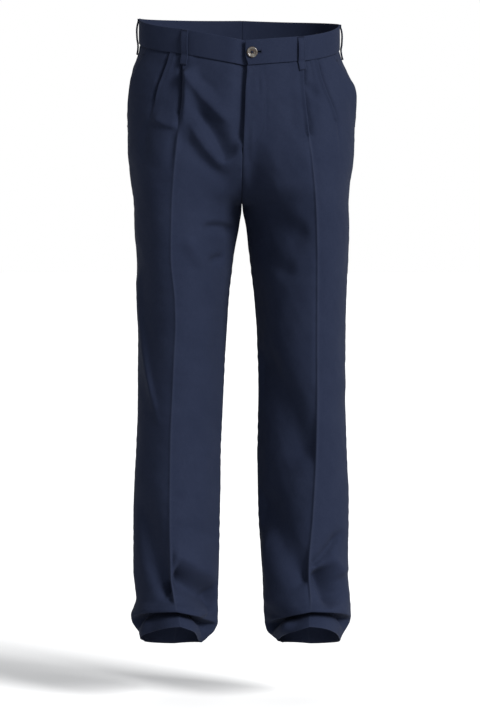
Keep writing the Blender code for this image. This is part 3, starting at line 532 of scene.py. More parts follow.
@cache
def level_line(side, down):
    """One side's level line in world axes, with arc lengths from the middle and its key places."""
    width, depth, lift, turn = (
        {name: smooth(rows, name, down) for name in rows[0]._fields[1:]}
        for rows in (WIDTHS[side], DEPTHS, WAIST_LIFTS[side] + LIFTS, TURNS)
    )
    progress = min(max((down - RISE_TOP) / (CROTCH - RISE_TOP), 0.0), 1.0)
    upright = math.sqrt(1 - progress**RISE_POWER)
    inward, front_inward = 90 * progress**4, INSEAM_TURN * progress**4
    clear = SEAM_GAP / 2 + CLOTH / 2 * math.sin(math.radians(inward))
    centre_y, seat_y = (blend(depth["side"], depth[name], upright) for name in ("centre", "seat"))
    seat_x = width["inner"] if down > CROTCH else 0.0
    front, front_fold, back = turn["front"], turn["front_fold"], 180 - turn["back"]
    # Each key place lies somewhere, and the line arrives there on one heading and leaves on another.
    keys = {
        "centre": ((width["inner"] + clear, centre_y), -front_inward, -front_inward),
        "front": ((width["crease"], depth["front"]), front - CREASE_EASE * front_fold, front + front_fold),
        "side": ((width["outer"], depth["side"]), 90, 90),
        "back": ((width["back_crease"], depth["back"]), back - turn["back_fold"], back + turn["back_fold"]),
        "seat": ((seat_x + clear, seat_y), 180 + inward, 180 + inward),
    }
    arcs, points, normals, marks, run = [], [], [], {"centre": 0.0}, 0.0
    for before, after in zip(list(keys), list(keys)[1:]):
        (start, _, leaving), (end, arriving, _) = keys[before], keys[after]
        stretch, along = arc_between(np.array(start), leaving, np.array(end), arriving)
        lengths = lengths_along(stretch, 0)
        share = lengths / lengths[-1]
        if "side" in (before, after):
            share = (stretch[:, 1] - start[1]) / (end[1] - start[1])
        heights = -down + (1 - share) * lift[before] + share * lift[after]
        points.append(np.column_stack((MIRROR[side] * stretch[:, 0], stretch[:, 1], heights)))
        normals.append(np.column_stack((MIRROR[side] * along[:, 1], -along[:, 0], 0 * lengths)))
        arcs.append(run + lengths)
        if after == "side":
            marks["pleat"] = run + float(np.interp(width["pleat"], stretch[:, 0], lengths))
        run += lengths[-1]
        marks[after] = run
    rising = np.repeat(np.arange(4), ARC_STEPS + 1) * APART / 100
    return Line(np.concatenate(arcs) + rising, np.concatenate(points), np.concatenate(normals), marks)


@cache
def whole_line(side, down):
    """A level line that runs on past the middle on the other side, or past the inseam round its own leg."""
    line, other = level_line(side, down), level_line(OTHER[side], down)
    total = line.marks["seat"]
    if down > CROTCH:
        beyond, way = line, 1
        first, last = line.arcs > total - REACH_PAST, line.arcs < REACH_PAST
        arcs = (line.arcs[first] - total - APART, line.arcs, line.arcs[last] + total + APART)
    else:
        beyond, way = other, -1
        past = other.marks["seat"] - other.arcs
        first, last = other.arcs < REACH_PAST, (past < REACH_PAST) & (past > 0)
        arcs = (-other.arcs[first][::-1] - APART, line.arcs, total + past[last][::-1])
    points, normals = (
        np.concatenate((rest[first][::way], own, rest[last][::way]))
        for own, rest in ((line.points, beyond.points), (line.normals, beyond.normals))
    )
    return np.concatenate(arcs), points, normals


def on_line(side, down, arcs, outs):
    """Points of the cloth in world axes: arcs along the level line from the middle, outs out from it."""
    at, points, normals = whole_line(side, down)
    point, normal = (
        np.column_stack([np.interp(arcs, at, rows[:, i]) for i in range(3)]) for rows in (points, normals)
    )
    normal /= np.linalg.norm(normal, axis=1)[:, None]
    return point + np.asarray(outs)[:, None] * normal


def marks_at(side, downs, *names):
    """The arcs at which level lines pass these places, a column for each."""
    marks = [level_line(side, down).marks for down in downs]
    return [np.array([row[name] for row in marks])[:, None] for name in names]


# ---- columns across each panel ----
def pleat_at(side, name, down):
    """How deep a pleat is folded at a level, and how far its layers stand apart."""
    return smooth(PLEATS[side, name], "depth", down), smooth(PLEATS[side, name], "step", down)


def fold_reach(depth):
    """How far inward from its edge a pleat's own points run."""
    return depth if depth > 0 else -depth / 2


def fold_path(depth, step, lift):
    """A pleat's section in (arcs from its edge, outs): the cloth up to it, and its fold or a soft ramp."""
    u = np.linspace(0, 1, FOLD_POINTS)
    wide = max(-depth, PLEAT_CLOSING)
    lead = np.linspace(*OPEN_LEAD, LEAD_POINTS)
    opened = (
        np.concatenate((-wide / 2 - lead, wide * (u - 0.5))),
        np.concatenate((0 * lead + step / 2, step * (0.5 - ramp(u)))),
    )
    if depth <= 0:
        return opened
    radius = step / 4
    lead = np.linspace(depth + FOLDED_LEAD[0], radius + FOLDED_LEAD[1], LEAD_POINTS)
    lead_outs = step / 2 + lift * bell(lead - radius, EDGE_LIFT_REACH)
    angle = np.linspace(math.pi / 2, -math.pi / 2, (FOLD_POINTS - 1) // 2)
    top = (1 + np.sin(angle)) / 2
    outer = (-radius + radius * np.cos(angle), 2 * radius * top + lift * top**2)
    inner = (-depth + radius - radius * np.cos(angle), -radius + radius * np.sin(angle))
    middle = ((outer[0][-1] + inner[0][0]) / 2, 0.0)
    folded = [
        np.concatenate((before, over, (between,), under))
        for before, over, between, under in zip((-lead, lead_outs), outer, middle, inner)
    ]
    share = ramp(depth / PLEAT_CLOSING)
    return tuple(blend(a, b, share) for a, b in zip(opened, folded))


def beside_pleats(side, down, arcs, passed):
    """How far the cloth beside the pleats stands out. passed is how many pleats lie before these points."""
    out = np.zeros_like(arcs)
    marks = level_line(side, down).marks
    gap = marks["pleat"] - marks["front"]
    for i, (name, mark) in enumerate(PLEAT_NAMES):
        depth, step = pleat_at(side, name, down)
        from_edge = arcs - marks[mark]
        if passed > i:
            out -= step / 2 * ramp(1 - from_edge / min(PLEAT_REACH_OUT, 0.4 * gap))
            dip = DIPS[side] * since(depth, 0.0, PLEAT_CLOSING) * since(down, WAIST_SEAM, 0.020)
            out -= dip * bell(from_edge, DIP_REACH)
            continue
        before = fold_reach(depth) + 0.002
        reach = PLEAT_REACH_IN
        if name == "second":
            reach = max(min(reach, 0.5 * gap), before + 0.002)
        out += step / 2 * ramp((from_edge + reach) / (reach - before))
    return out


def pocket_mouth(down):
    """How far the front panel's edge lies in front of the side seam."""
    return POCKET_MOUTH_AT_WAIST * max(0.0, 1 - (down - WAIST_SEAM) / (POCKET_END - WAIST_SEAM))


def pocket_gape(side, down, from_edge):
    """How far the pocket's mouth stands open at distances from its edge."""
    along = min((down - WAIST_SEAM) / (POCKET_END - WAIST_SEAM), 1.0)
    return POCKET_GAPE[side] * math.sin(math.pi * along) * ramp(1 - from_edge / POCKET_GAPE_REACH)


def edge_columns(turned, across=0.0):
    """(distance from a panel's edge, out) of its last points. turned is 0 at a seam and 1 at a free edge."""
    seam = np.vstack((blend(TURNED_BACK, CROSSING, across), SEAM_ROLL))
    return blend(seam, FREE_EDGE, turned)


def front_columns(side, down):
    """Arcs and outs of a front panel's points on one level line."""
    marks = level_line(side, down).marks
    start, end = SEWN_GAP, marks["side"] - SEWN_GAP - pocket_mouth(down)
    sunk = fly_turned = 0.0
    across = since(down, CROTCH + 0.0002, 0.002)
    if side == "left":
        start += FLY_DRAWN * until(down, FLY_DRAWN_TO, 0.050)
        fly_turned = until(down, FLY_END + 0.004, 0.010)
        across += since(down, FLY_END, 0.004) * until(down, CROTCH, 0.002)
        standing, reach = FLY_STANDS, FLY_STANDS_REACH
    else:
        start -= FLY_UNDERLAP * until(down, FLY_END, 0.020)
        sunk = LAYER_STEP * until(down, FLY_END + FLY_RISE, FLY_RISE)
        standing, reach = -FLY_SAG, FLY_SAG_REACH
    standing *= until(down, FLY_END - 0.005, 0.020)
    fly = edge_columns(fly_turned, across)
    mouth = edge_columns(until(down, POCKET_END + 0.002, 0.010), 1.0)[::-1]

    pleats = []
    for name, mark in PLEAT_NAMES:
        depth, step = pleat_at(side, name, down)
        fold_arcs, fold_outs = fold_path(depth, step, EDGE_LIFTS[side])
        pleats.append((marks[mark] - fold_reach(depth) - PLEAT_BEFORE, marks[mark] + fold_arcs, fold_outs))
    (first_stop, first, first_outs), (second_stop, second, second_outs) = pleats
    stretches = (
        (start + fly[:, 0], fly[:, 1], 0),
        (np.linspace(start + EDGE_CLEAR, first_stop, PLAIN_COLUMNS), 0.0, 0),
        (first, first_outs, None),
        (np.linspace(first[-1] + PLEAT_AFTER, second_stop, BETWEEN_COLUMNS), 0.0, 1),
        (second, second_outs, None),
        (np.linspace(second[-1] + PLEAT_AFTER, end - EDGE_CLEAR, OUTER_COLUMNS), 0.0, 2),
        (end - mouth[:, 0], mouth[:, 1], 2),
    )
    outs = []
    for arcs, out, passed in stretches:
        if passed is not None:
            out = out + beside_pleats(side, down, arcs, passed) + pocket_gape(side, down, end - arcs)
            out = out - sunk * ramp((FLY_TUCK_REACH - arcs) / (FLY_TUCK_REACH - 0.010))
            out = out + standing * ramp(1 - arcs / reach)
        outs.append(out)
    return np.concatenate([arcs for arcs, _, _ in stretches]), np.concatenate(outs)


def back_columns(side, down):
    """Arcs and outs of a back panel's points on one level line."""
    marks = level_line(side, down).marks
    felled = MIRROR[side] * SEAT_FELL * until(down, CROTCH + 0.009, 0.008) * since(down, WAIST_SEAM, 0.02)
    start, end = marks["side"] + SEWN_GAP, marks["seat"] - SEWN_GAP + felled
    near = edge_columns(0.0)
    far = edge_columns(0.0, until(down, CROTCH, 0.002) if side == "left" else 0.0)[::-1]
    plain = np.linspace(start + EDGE_CLEAR, marks["back"], BACK_COLUMNS[0])
    beyond = np.linspace(marks["back"], end - EDGE_CLEAR, BACK_COLUMNS[1])[1:]
    arcs = np.concatenate((start + near[:, 0], plain, beyond, end - far[:, 0]))
    return arcs, np.concatenate((near[:, 1], 0 * plain, 0 * beyond, far[:, 1]))


def facing_columns(side, down):
    """The facing fills the pocket's mouth one layer under the front panel, and rises to the side seam."""
    mouth = pocket_mouth(down)
    shown = since(mouth, 0.005, 0.006)
    sewn = until(down, POCKET_END + 0.005, 0.008)
    end = level_line(side, down).marks["side"] - SEWN_GAP - FACING_EDGE * (1 - sewn)
    arcs = np.linspace(end - mouth - FACING_HIDDEN, end, FACING_COLUMNS)
    outs = (LAYER_STEP - 0.0007) * shown * ramp(1 - (end - arcs) / 0.006) - LAYER_STEP
    past = end + sewn * np.array((0.0001, 0.0002, 0.0050)) + np.array((0.00005, 0.0001, 0.00015))
    under = outs[-1] - sewn * np.array((0.0010, 0.0020, 0.0024))
    return np.concatenate((arcs, past)), np.concatenate((outs, under))


def levels_to(bottom):
    """Levels a row step apart under the row inside the waistband, closer together where the hem breaks."""
    found, down = [WAIST_SEAM - TURN_UP], WAIST_SEAM
    while down < bottom - 1e-6:
        found.append(down)
        down += BREAK_STEP if down >= BREAK_TOP else ROW_STEP
    return found + [bottom]


# ---- folds, waves and puckers ----
def fold_place(fold, x, z):
    """Distance to the left (+) or right (-) of a fold's line, and the share of it at the nearest point."""
    t = np.linspace(0, 1, FOLD_SAMPLES + 1)
    line_x, line_z = (
        (1 - t) ** 2 * a + 2 * t * (1 - t) * (2 * b - (a + c) / 2) + t * t * c
        for a, b, c in ((fold.x0, fold.x1, fold.x2), (fold.z0, fold.z1, fold.z2))
    )
    best, hand, along = np.full(x.shape, np.inf), np.ones(x.shape), np.zeros(x.shape)
    for i in range(FOLD_SAMPLES):
        run_x, run_z = line_x[i + 1] - line_x[i], line_z[i + 1] - line_z[i]
        off_x, off_z = x - line_x[i], z - line_z[i]
        share = np.clip((off_x * run_x + off_z * run_z) / (run_x**2 + run_z**2), 0, 1)
        away = np.hypot(off_x - share * run_x, off_z - share * run_z)
        closer = away < best
        best = np.where(closer, away, best)
        hand = np.where(closer, np.sign(run_x * off_z - run_z * off_x), hand)
        along = np.where(closer, (i + share) / FOLD_SAMPLES, along)
    return best * hand, along


def fold_height(face, x, z, inside):
    """How far the folds move the cloth out. inside is how far inside the leg's crease it lies."""
    total = np.zeros(x.shape)
    towards = {"inner": inside, "outer": -inside, "both": np.full(x.shape, PLANE_EDGE)}
    planes = ((towards[plane], found) for (on, plane), found in FOLDS.items() if on == face)
    for toward, fold in ((toward, fold) for toward, found in planes for fold in found):
        reach = FOLD_REACH * max(fold.left, fold.right)
        near = np.ones(x.shape, bool)
        for place, stops in ((x, (fold.x0, fold.x1, fold.x2)), (z, (fold.z0, fold.z1, fold.z2))):
            near &= (place > min(stops) - reach) & (place < max(stops) + reach)
        if near.any():
            away, along = fold_place(fold, x[near], z[near])
            width = np.where(away > 0, fold.left, fold.right)
            bump = bell(away, width, TROUGH_POWER if fold.height < 0 else RIDGE_POWER)
            bump *= ramp(along / fold.fade) * ramp((1 - along) / fold.die)
            total[near] += fold.height * bump * ramp(toward[near] / PLANE_EDGE)
    return total


def wave_height(across, down, seed):
    """Faint unevenness: sums of sines whose directions and phases follow a rule."""
    total = np.zeros(across.shape)
    for number, wave in enumerate(WAVES):
        for i in range(wave.count):
            angle = GOLDEN_ANGLE * (i + 3 * number + seed)
            stretch = 1 + 0.35 * math.sin(1.7 * i + seed)
            k = 2 * math.pi / (wave.length * stretch)
            bend = 0.6 * np.sin(k * 0.37 * down + i)
            phase = k * (across * math.cos(angle) + down * math.sin(angle)) + 5.1 * i + seed + bend
            total += wave.height / math.sqrt(wave.count) * np.sin(phase)
    return total


def pucker_height(from_seam, down, seed):
    """Short ripples that run off a seam and die away."""
    ripple = np.sin(2 * math.pi * down / PUCKER_LENGTH + 1.6 * np.sin(11 * down + seed) + seed)
    slow = 0.5 + 0.5 * np.sin(2 * math.pi * down / PUCKER_SWELL + 2 * seed)
    return PUCKER_HEIGHT * ripple * slow * bell(from_seam, PUCKER_REACH)


def relief(side, face, downs, arcs, flat):
    """How far out from its level line the cloth of a panel's grid lies."""
    side_arc, seat_arc, crease = marks_at(side, downs, "side", "seat", face)
    levels = np.array(downs)[:, None] + 0 * arcs
    below_band = levels - WAIST_SEAM
    from_side = np.abs(side_arc - arcs)
    from_middle = np.minimum(np.abs(arcs), np.abs(seat_arc - arcs))
    inside = crease - arcs if face == "front" else arcs - crease
    low = ramp((levels - RISE_TOP) / RISE_SEAM_STARTS)
    free = ramp(from_side / FOLD_FREE_EDGE) * (1 - low * (1 - ramp(from_middle / FOLD_FREE_EDGE)))
    total = fold_height(face, flat[..., 0], flat[..., 2], inside) * free
    seed = SEEDS[face, side]
    held = ramp(below_band / BAND_HOLDS) * ramp(np.minimum(from_side, from_middle) / SEAM_HOLDS)
    total += wave_height(-inside, levels, seed) * held
    pucker = pucker_height(from_side, levels, seed) + low * pucker_height(from_middle, levels, seed + 1)
    total += pucker * ramp(below_band / BAND_FLATTENS)
    pressed = ramp((levels - CREASE_TOP) / CREASE_STARTS) * ramp((CREASE_END - levels) / CREASE_FADES)
    total += CREASE_RIDGES[face][side] * pressed * bell(inside, CREASE_REACH, CREASE_POWER)
    past = levels - HEM_TUCK_AT
    tuck = HEM_TUCK[face] * bell(past, np.where(past < 0, *HEM_TUCK_REACHES))
    total -= tuck * ramp(from_side / TUCK_FREE_SIDE) * ramp(from_middle / TUCK_FREE_MIDDLE)
    return total - BAND_BITE * bell(below_band, BAND_BITE_REACH)


def cloth_grid(side, face, downs, columns):
    """The points of a panel in rows, of which the first stands up inside the waistband, and their arcs."""
    downs = [max(down, WAIST_SEAM) for down in downs]
    pairs = [columns(side, down) for down in downs]
    arcs, outs = (np.array([pair[i] for pair in pairs]) for i in range(2))
    flat = np.array([on_line(side, down, *pair) for down, pair in zip(downs, pairs)])
    outs += relief(side, face, downs, arcs, flat)
    points = np.array([on_line(side, *row) for row in zip(downs, arcs, outs)])
    points[..., :2] += eased_at_crotch(side, downs, arcs, flat)
    if columns is front_columns:
        # Below the fly the rolled edges of the two fronts meet upright in the middle.
        for row, down in zip(points, downs):
            meeting = level_line(side, down).points[0][0] + MIRROR[side] * (CLOTH / 2 - SEAM_GAP / 4)
            share = since(down, FLY_END + 0.002, 0.010) * until(down, CROTCH + 0.006, 0.010)
            row[1:4, 0] = blend(row[1:4, 0], meeting, share)
    points[0, :, 2] += blend(SEAM_GAP / 2, TURN_UP, ramp((-0.0009 - outs[0]) / 0.0003))
    return points, arcs


def eased_at_crotch(side, downs, arcs, flat):
    """The shift that lets the front and seat run softly into the legs, not all at once at the crotch."""
    side_arc, seat_arc = marks_at(side, downs, "side", "seat")
    downs = np.array(downs)
    shift = np.zeros(flat[..., :2].shape)
    from_middle = np.minimum(np.abs(arcs), np.abs(seat_arc - arcs))
    near = ramp((CROTCH_EASE - np.abs(downs - CROTCH)) / 0.03)
    for i in np.nonzero(near)[0]:
        weights = bell(downs - downs[i], CROTCH_SOFT)
        softened = np.tensordot(weights / weights.sum(), flat[..., :2], 1)
        share = near[i] * ramp((from_middle[i] - 0.004) / 0.030) * ramp(np.abs(side_arc[i] - arcs[i]) / 0.020)
        shift[i] = share[:, None] * (softened - flat[i, :, :2])
    return shift


def cloth_point(side, down, arc, out):
    """A point on the finished front beside the level lines, for what is sewn on it."""
    arcs, outs = np.array([float(arc)]), np.array([float(out)])
    flat = on_line(side, down, arcs, outs)[None]
    return Vector(on_line(side, down, arcs, outs + relief(side, "front", [down], arcs[None], flat)[0])[0])


# ---- making meshes ----
def placed(name, data, finish=None):
    """A new object in the scene."""
    made = bpy.data.objects.new(name, data)
    if finish:
        data.materials.append(finish)
    bpy.context.scene.collection.objects.link(made)
    return made


def mesh_object(name, shape, finish=None):
    """A new smooth object from a bmesh."""
    mesh = bpy.data.meshes.new(name)
    shape.to_mesh(mesh)
    shape.free()
    mesh.shade_smooth()
    return placed(name, mesh, finish)


def cloth_piece(name, node, points, finish, side, wall=CLOTH, bevel=0.0, across=None, downs=None, highlight_and_wear=None):
    """Cloth on a grid of points, with a UV map of metres on the cut and an attribute for the painted
    highlight along the crease and the wear along the hem.
    """
    rows, columns = points.shape[:2]
    corner = np.arange(rows * columns).reshape(rows, columns)
    quads = (corner[:-1, :-1], corner[1:, :-1], corner[1:, 1:], corner[:-1, 1:])
    faces = np.stack(quads[::-1] if side == "right" else quads, -1).reshape(-1, 4)
    mesh = bpy.data.meshes.new(name)
    mesh.from_pydata(points.reshape(-1, 3).tolist(), [], faces.tolist())
    across = lengths_along(points, 1) if across is None else across
    downs = lengths_along(points, 0) if downs is None else downs
    place = np.stack((across, -downs), -1).reshape(-1, 2)
    loops = np.empty(len(mesh.loops), dtype=np.int32)
    mesh.loops.foreach_get("vertex_index", loops)
    mesh.uv_layers.new(name="Cut").data.foreach_set("uv", place[loops].astype(np.float32).ravel())
    # the crease's painted highlight and the hem's wear, read by the material
    highlight_wear_share = mesh.attributes.new("highlight_and_wear", "FLOAT", "POINT")
    if highlight_and_wear is not None:
        highlight_wear_share.data.foreach_set("value", highlight_and_wear.ravel().astype(np.float32))
    mesh.shade_smooth()
    made = placed(name, mesh, finish)
    solid = made.modifiers.new("Cloth", "SOLIDIFY")
    solid.thickness = wall
    solid.offset = 0.0
    if bevel:
        soft = made.modifiers.new("Edge", "BEVEL")
        soft.width = bevel
        soft.segments = 3
        soft.limit_method = "ANGLE"
        soft.angle_limit = math.radians(50)
    return fitted(made, "cloth", node)


def cut(made, cutter):
    """Takes the cutter out of a piece, with its modifiers applied."""
    hole = made.modifiers.new("Cut", "BOOLEAN")
    hole.operation = "DIFFERENCE"
    hole.solver = "EXACT"
    hole.object = cutter
    graph = bpy.context.evaluated_depsgraph_get()
    mesh = bpy.data.meshes.new_from_object(made.evaluated_get(graph))
    made.modifiers.clear()
    old, made.data = made.data, mesh
    bpy.data.meshes.remove(old)
    mesh.name = made.name
    bpy.data.objects.remove(cutter)
    mesh.shade_smooth()


def fitted(made, slot, *nodes):
    """Every piece rides on the one body and stands for its CAD nodes; slot is not used."""
    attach(made, "root")
    if nodes:
        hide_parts(*nodes)
    return made


def sewn(name, shape, finish, *nodes):
    """A piece of thread from a bmesh."""
    return fitted(mesh_object(name, shape, finish), "thread", *nodes)


def crease_highlight_and_hem_wear(side, face, downs, arcs):
    """A painted highlight, a lighter colour along the leg's pressed crease, and real rubbing wear along the
    hem.
    """
    (crease,) = marks_at(side, downs, face)
    levels = np.array(downs)[:, None]
    # painted highlight: a thin lighter line along the crease
    painted_highlight = bell(arcs - crease, 0.0012) * ramp((levels - 0.11) / 0.06)
    hem = bell(HEM - levels, 0.0015)
    return 0.8 * np.maximum(painted_highlight * (levels < HEM), hem + 0 * arcs)


def make_panel(face, side, finish):
    """A front or a back. Its place on the cut is measured across from the crease."""
    downs = levels_to(HEM)
    points, arcs = cloth_grid(side, face, downs, front_columns if face == "front" else back_columns)
    lengths = lengths_along(points, 1)
    (crease,) = marks_at(side, downs, face)
    rising = np.maximum.accumulate(arcs, axis=1)
    middle = np.array([np.interp(*row) for row in zip(crease, rising, lengths)])
    across, levels = lengths - middle, np.array(downs)[:, None] + 0 * arcs
    # the crease's painted highlight and the hem's wear
    highlight_and_wear = crease_highlight_and_hem_wear(side, face, downs, arcs)
    node = f"{face}_{side}"
    return cloth_piece("cloth_" + node, node, points, finish, side, across=across, downs=levels, highlight_and_wear=highlight_and_wear)


def make_facing(side, finish):
    """The strip of cloth behind a pocket's mouth."""
    points, _ = cloth_grid(side, "front", levels_to(POCKET_END + 0.012), facing_columns)
    return cloth_piece("cloth_facing_" + side, "pocket_facing_" + side, points, finish, side)


# ---- the waistband, its loops and its button ----
def band_points(side, arcs, height, outs):
    """Points of the waistband, a height above the seam under it."""
    point = on_line(side, WAIST_SEAM, np.asarray(arcs, float), BAND_OFFSET + np.asarray(outs, float))
    return point + np.array((0, 0, SEAM_GAP + height))


def make_band(side, finish):
    """Half the waistband. The right half runs on under the left one, where the button is sewn to it."""
    left = side == "left"
    end = level_line(side, WAIST_SEAM).marks["seat"]
    arcs = np.linspace(0.0 if left else -BAND_UNDERLAP, end, BAND_STEPS[side])
    sunk = 0.0 if left else -LAP_DROP * ramp((0.026 - arcs) / 0.018) - LAP_SAG * ramp((0.016 - arcs) / 0.016)
    rows = []
    for height in np.linspace(BAND_HEIGHT, 0.0, BAND_ROWS):
        level = height / BAND_HEIGHT
        crown = BAND_CROWN * (1 - (2 * level - 1) ** 2)
        soft = BAND_UNEVEN * np.sin(arcs / 0.0142 + 1.5 * level + (2 if left else 0)) * (0.4 + 0.6 * level)
        soft *= ramp(np.abs(arcs) / 0.03) * ramp(np.abs(end - arcs) / 0.02)
        cut_back = LAP_CORNER * float(ramp(1 - level / 0.45)) if left else 0.0
        row = arcs + cut_back * ramp(1 - arcs / 0.012)
        rows.append(band_points(side, row, height, sunk + crown + soft))
    points = np.array(rows)
    return cloth_piece("band_" + side, "waistband_" + side, points, finish, side, BAND_WALL, BAND_BEVEL)


def through(stops, t):
    """A smooth curve through rows of numbers, evenly spaced in t from 0 to 1."""
    stops = np.array(stops, float)
    padded = np.vstack((2 * stops[0] - stops[1], stops, 2 * stops[-1] - stops[-2]))
    place = np.clip(t, 0, 1) * (len(stops) - 1)
    i = np.minimum(place.astype(int), len(stops) - 2)
    f = (place - i)[:, None]
    a, b, c, d = (padded[i + k] for k in range(4))
    return 0.5 * (2 * b + (c - a) * f + (2 * a - 5 * b + 4 * c - d) * f**2 + (3 * b - a - 3 * c + d) * f**3)


def make_loop(name, side, arc, finish):
    """A strip sewn down at the band's top edge and just under the waist seam, standing off between them."""
    marks = level_line(side, WAIST_SEAM).marks
    across = np.linspace(-LOOP_WIDTH / 2, LOOP_WIDTH / 2, LOOP_COLUMNS)
    on_band = (BAND_WALL + LOOP_WALL) / 2 + SEAM_GAP
    stops = (
        (BAND_HEIGHT - 0.0005, 0.0),
        (BAND_HEIGHT - 0.0050, 0.0004),
        (BAND_HEIGHT - 0.0110, 0.7 * LOOP_STAND_OFF),
        (BAND_HEIGHT / 2, LOOP_STAND_OFF),
        (0.0060, 0.8 * LOOP_STAND_OFF),
        (-0.0010, 0.0012),
    )
    strips = [band_points(side, arc + across, height, on_band + out + 0 * across) for height, out in stops]
    on_panel = (PANEL_WALL + LOOP_WALL) / 2 + 2 * SEAM_GAP
    for below, out in ((0.5 * LOOP_BELOW_BAND, 0.0009), (LOOP_BELOW_BAND, 0.0004)):
        level = WAIST_SEAM + below
        out += on_panel + (pleat_at(side, "first", level)[1] / 2 if arc < marks["pleat"] else 0.0)
        stretch = level_line(side, level).marks["side"] / marks["side"]
        strips.append(on_line(side, level, (arc + across) * stretch, out + 0 * across))
    t = np.linspace(0, 1, LOOP_ROWS)
    points = np.stack([through([strip[i] for strip in strips], t) for i in range(LOOP_COLUMNS)], 1)
    loop = cloth_piece("loop_" + name, "belt_loop_" + name, points, finish, side, LOOP_WALL, LOOP_BEVEL)
    return loop, points


def on_band_frame(arc, out):
    """Axes on the left band at mid-height: x along the band, y across it, z out of the cloth."""
    point, ahead = (Vector(p) for p in band_points("left", (arc, arc + 0.002), BAND_HEIGHT / 2, (out, out)))
    along = (ahead - point).normalized()
    outward = along.cross(Vector((0, 0, 1))).normalized()
    axes = Matrix((along, outward.cross(along), outward)).transposed().to_4x4()
    return Matrix.Translation(point) @ axes


def make_button(finish):
    """A four-hole button with a raised rim and a dished middle."""
    rim, edge = BUTTON_THICKNESS, BUTTON_RADIUS
    dish = DISH * rim
    stops = (
        (0.0, dish),
        (0.25 * edge, dish),
        (0.52 * edge, 1.02 * dish),
        (0.66 * edge, 0.86 * rim),
        (0.83 * edge, rim),
        (0.95 * edge, 0.84 * rim),
        (edge, 0.5 * rim),
        (0.93 * edge, 0.2 * rim),
        (0.70 * edge, 0.0),
    )
    profile = [(0.0, dish), *through(stops, np.linspace(0, 1, 41))[1:], (0.0, 0.0)]
    shape = bmesh.new()
    points = [shape.verts.new((radius, 0.0, height)) for radius, height in profile]
    for a, b in zip(points, points[1:]):
        shape.edges.new((a, b))
    made = mesh_object("button_dished", shape, finish)
    turn = made.modifiers.new("Turn", "SCREW")
    turn.steps = turn.render_steps = 72
    turn.use_merge_vertices = True
    turn.merge_threshold = 1e-5
    turn.use_smooth_shade = True

    holes = bmesh.new()
    radius = BUTTON_HOLE_RADIUS
    for x in (-HOLE_REACH, HOLE_REACH):
        for y in (-HOLE_REACH, HOLE_REACH):
            bmesh.ops.create_cone(
                holes, cap_ends=True, segments=24, radius1=radius, radius2=radius, depth=3 * rim,
                matrix=Matrix.Translation((x, y, rim / 2)),
            )
    cut(made, mesh_object("button_holes", holes))
    made.data.set_sharp_from_angle(angle=math.radians(35))
    made.matrix_world = on_band_frame(BUTTON_FROM_EDGE, BAND_WALL / 2 + SEAM_GAP)
    return fitted(made, "button", "button")


def tube(shape, points, radius, sides=8):
    """A round thread through points, with closed ends, into a bmesh."""
    rings = []
    for i, point in enumerate(points):
        along = (points[min(i + 1, len(points) - 1)] - points[max(i - 1, 0)]).normalized()
        across = along.orthogonal() if i == 0 else across - across.dot(along) * along
        across.normalize()
        other = along.cross(across)
        angles = [2 * math.pi * k / sides for k in range(sides)]
        ring = [point + radius * (math.cos(angle) * across + math.sin(angle) * other) for angle in angles]
        rings.append([shape.verts.new(place) for place in ring])
    for a, b in zip(rings, rings[1:]):
        for k in range(sides):
            shape.faces.new((a[k], a[(k + 1) % sides], b[(k + 1) % sides], b[k]))
    shape.faces.new(rings[0][::-1])
    shape.faces.new(rings[-1])


def make_button_thread(finish):
    """Thread that crosses between the button's holes and runs through them to the band under it."""
    shape = bmesh.new()
    axes = on_band_frame(BUTTON_FROM_EDGE, 0.0)
    base = BAND_WALL / 2 + SEAM_GAP
    top, bottom = base + DISH * BUTTON_THICKNESS, BAND_WALL / 2 - LAP_DROP - LAP_SAG
    for number, (x, y) in enumerate(((1, 1), (1, -1))):
        ahead, aside = Vector((x, y, 0)) * HOLE_REACH, Vector((-y, x, 0)).normalized()
        for beside in (-1.5, -0.5, 0.5, 1.5):
            shift = aside * beside * 1.8 * STRAND_RADIUS
            start, end = shift - ahead, shift + ahead
            route = [start * 0.9 + Vector((0, 0, base))]
            for i in range(13):
                arch = math.sin(math.pi * i / 12)
                rise = top + 0.00075 * arch**0.6 + number * 0.0004 * arch
                route.append(start.lerp(end, i / 12) + Vector((0, 0, rise)))
            route.append(end * 0.9 + Vector((0, 0, base)))
            tube(shape, [axes @ p for p in route], STRAND_RADIUS)
    for i in range(SHANK_STRANDS):
        angles = [2 * math.pi * i / SHANK_STRANDS + twist for twist in (0.0, SHANK_TWIST)]
        foot, head = (
            Vector((math.cos(angle), math.sin(angle), 0)) * SHANK_STRANDS_AT + Vector((0, 0, height))
            for angle, height in zip(angles, (bottom, base))
        )
        tube(shape, [axes @ foot.lerp(head, k / 5) for k in range(6)], SHANK_STRAND_RADIUS)
    return sewn("button_thread", shape, finish, "button_shank")


def slot_frame(out):
    """Axes in the middle of the buttonhole, out from the band's middle."""
    return on_band_frame(BUTTON_FROM_EDGE - SLOT_HEIGHT / 2 + SLOT_LENGTH / 2, out)


def cut_buttonhole(band):
    shape = bmesh.new()
    bmesh.ops.create_cube(shape, size=1.0)
    bmesh.ops.scale(shape, vec=(SLOT_LENGTH, SLOT_SHOWN, 3 * BAND_WALL), verts=shape.verts)
    slot = mesh_object("buttonhole_slot", shape)
    slot.matrix_world = slot_frame(0.0)
    bpy.context.view_layer.update()
    cut(band, slot)
    band.data.set_sharp_from_angle(angle=math.radians(50))


# ---- stitches ----
def stitch(shape, start, end, out, radius):
    """One raised stitch of thread between two points of the cloth, arched out of it."""
    rises = ((0.0, -1.0), (0.12, 0.35), (0.5, 0.7), (0.88, 0.35), (1.0, -1.0))
    tube(shape, [start.lerp(end, share) + out * radius * rise for share, rise in rises], radius, 6)


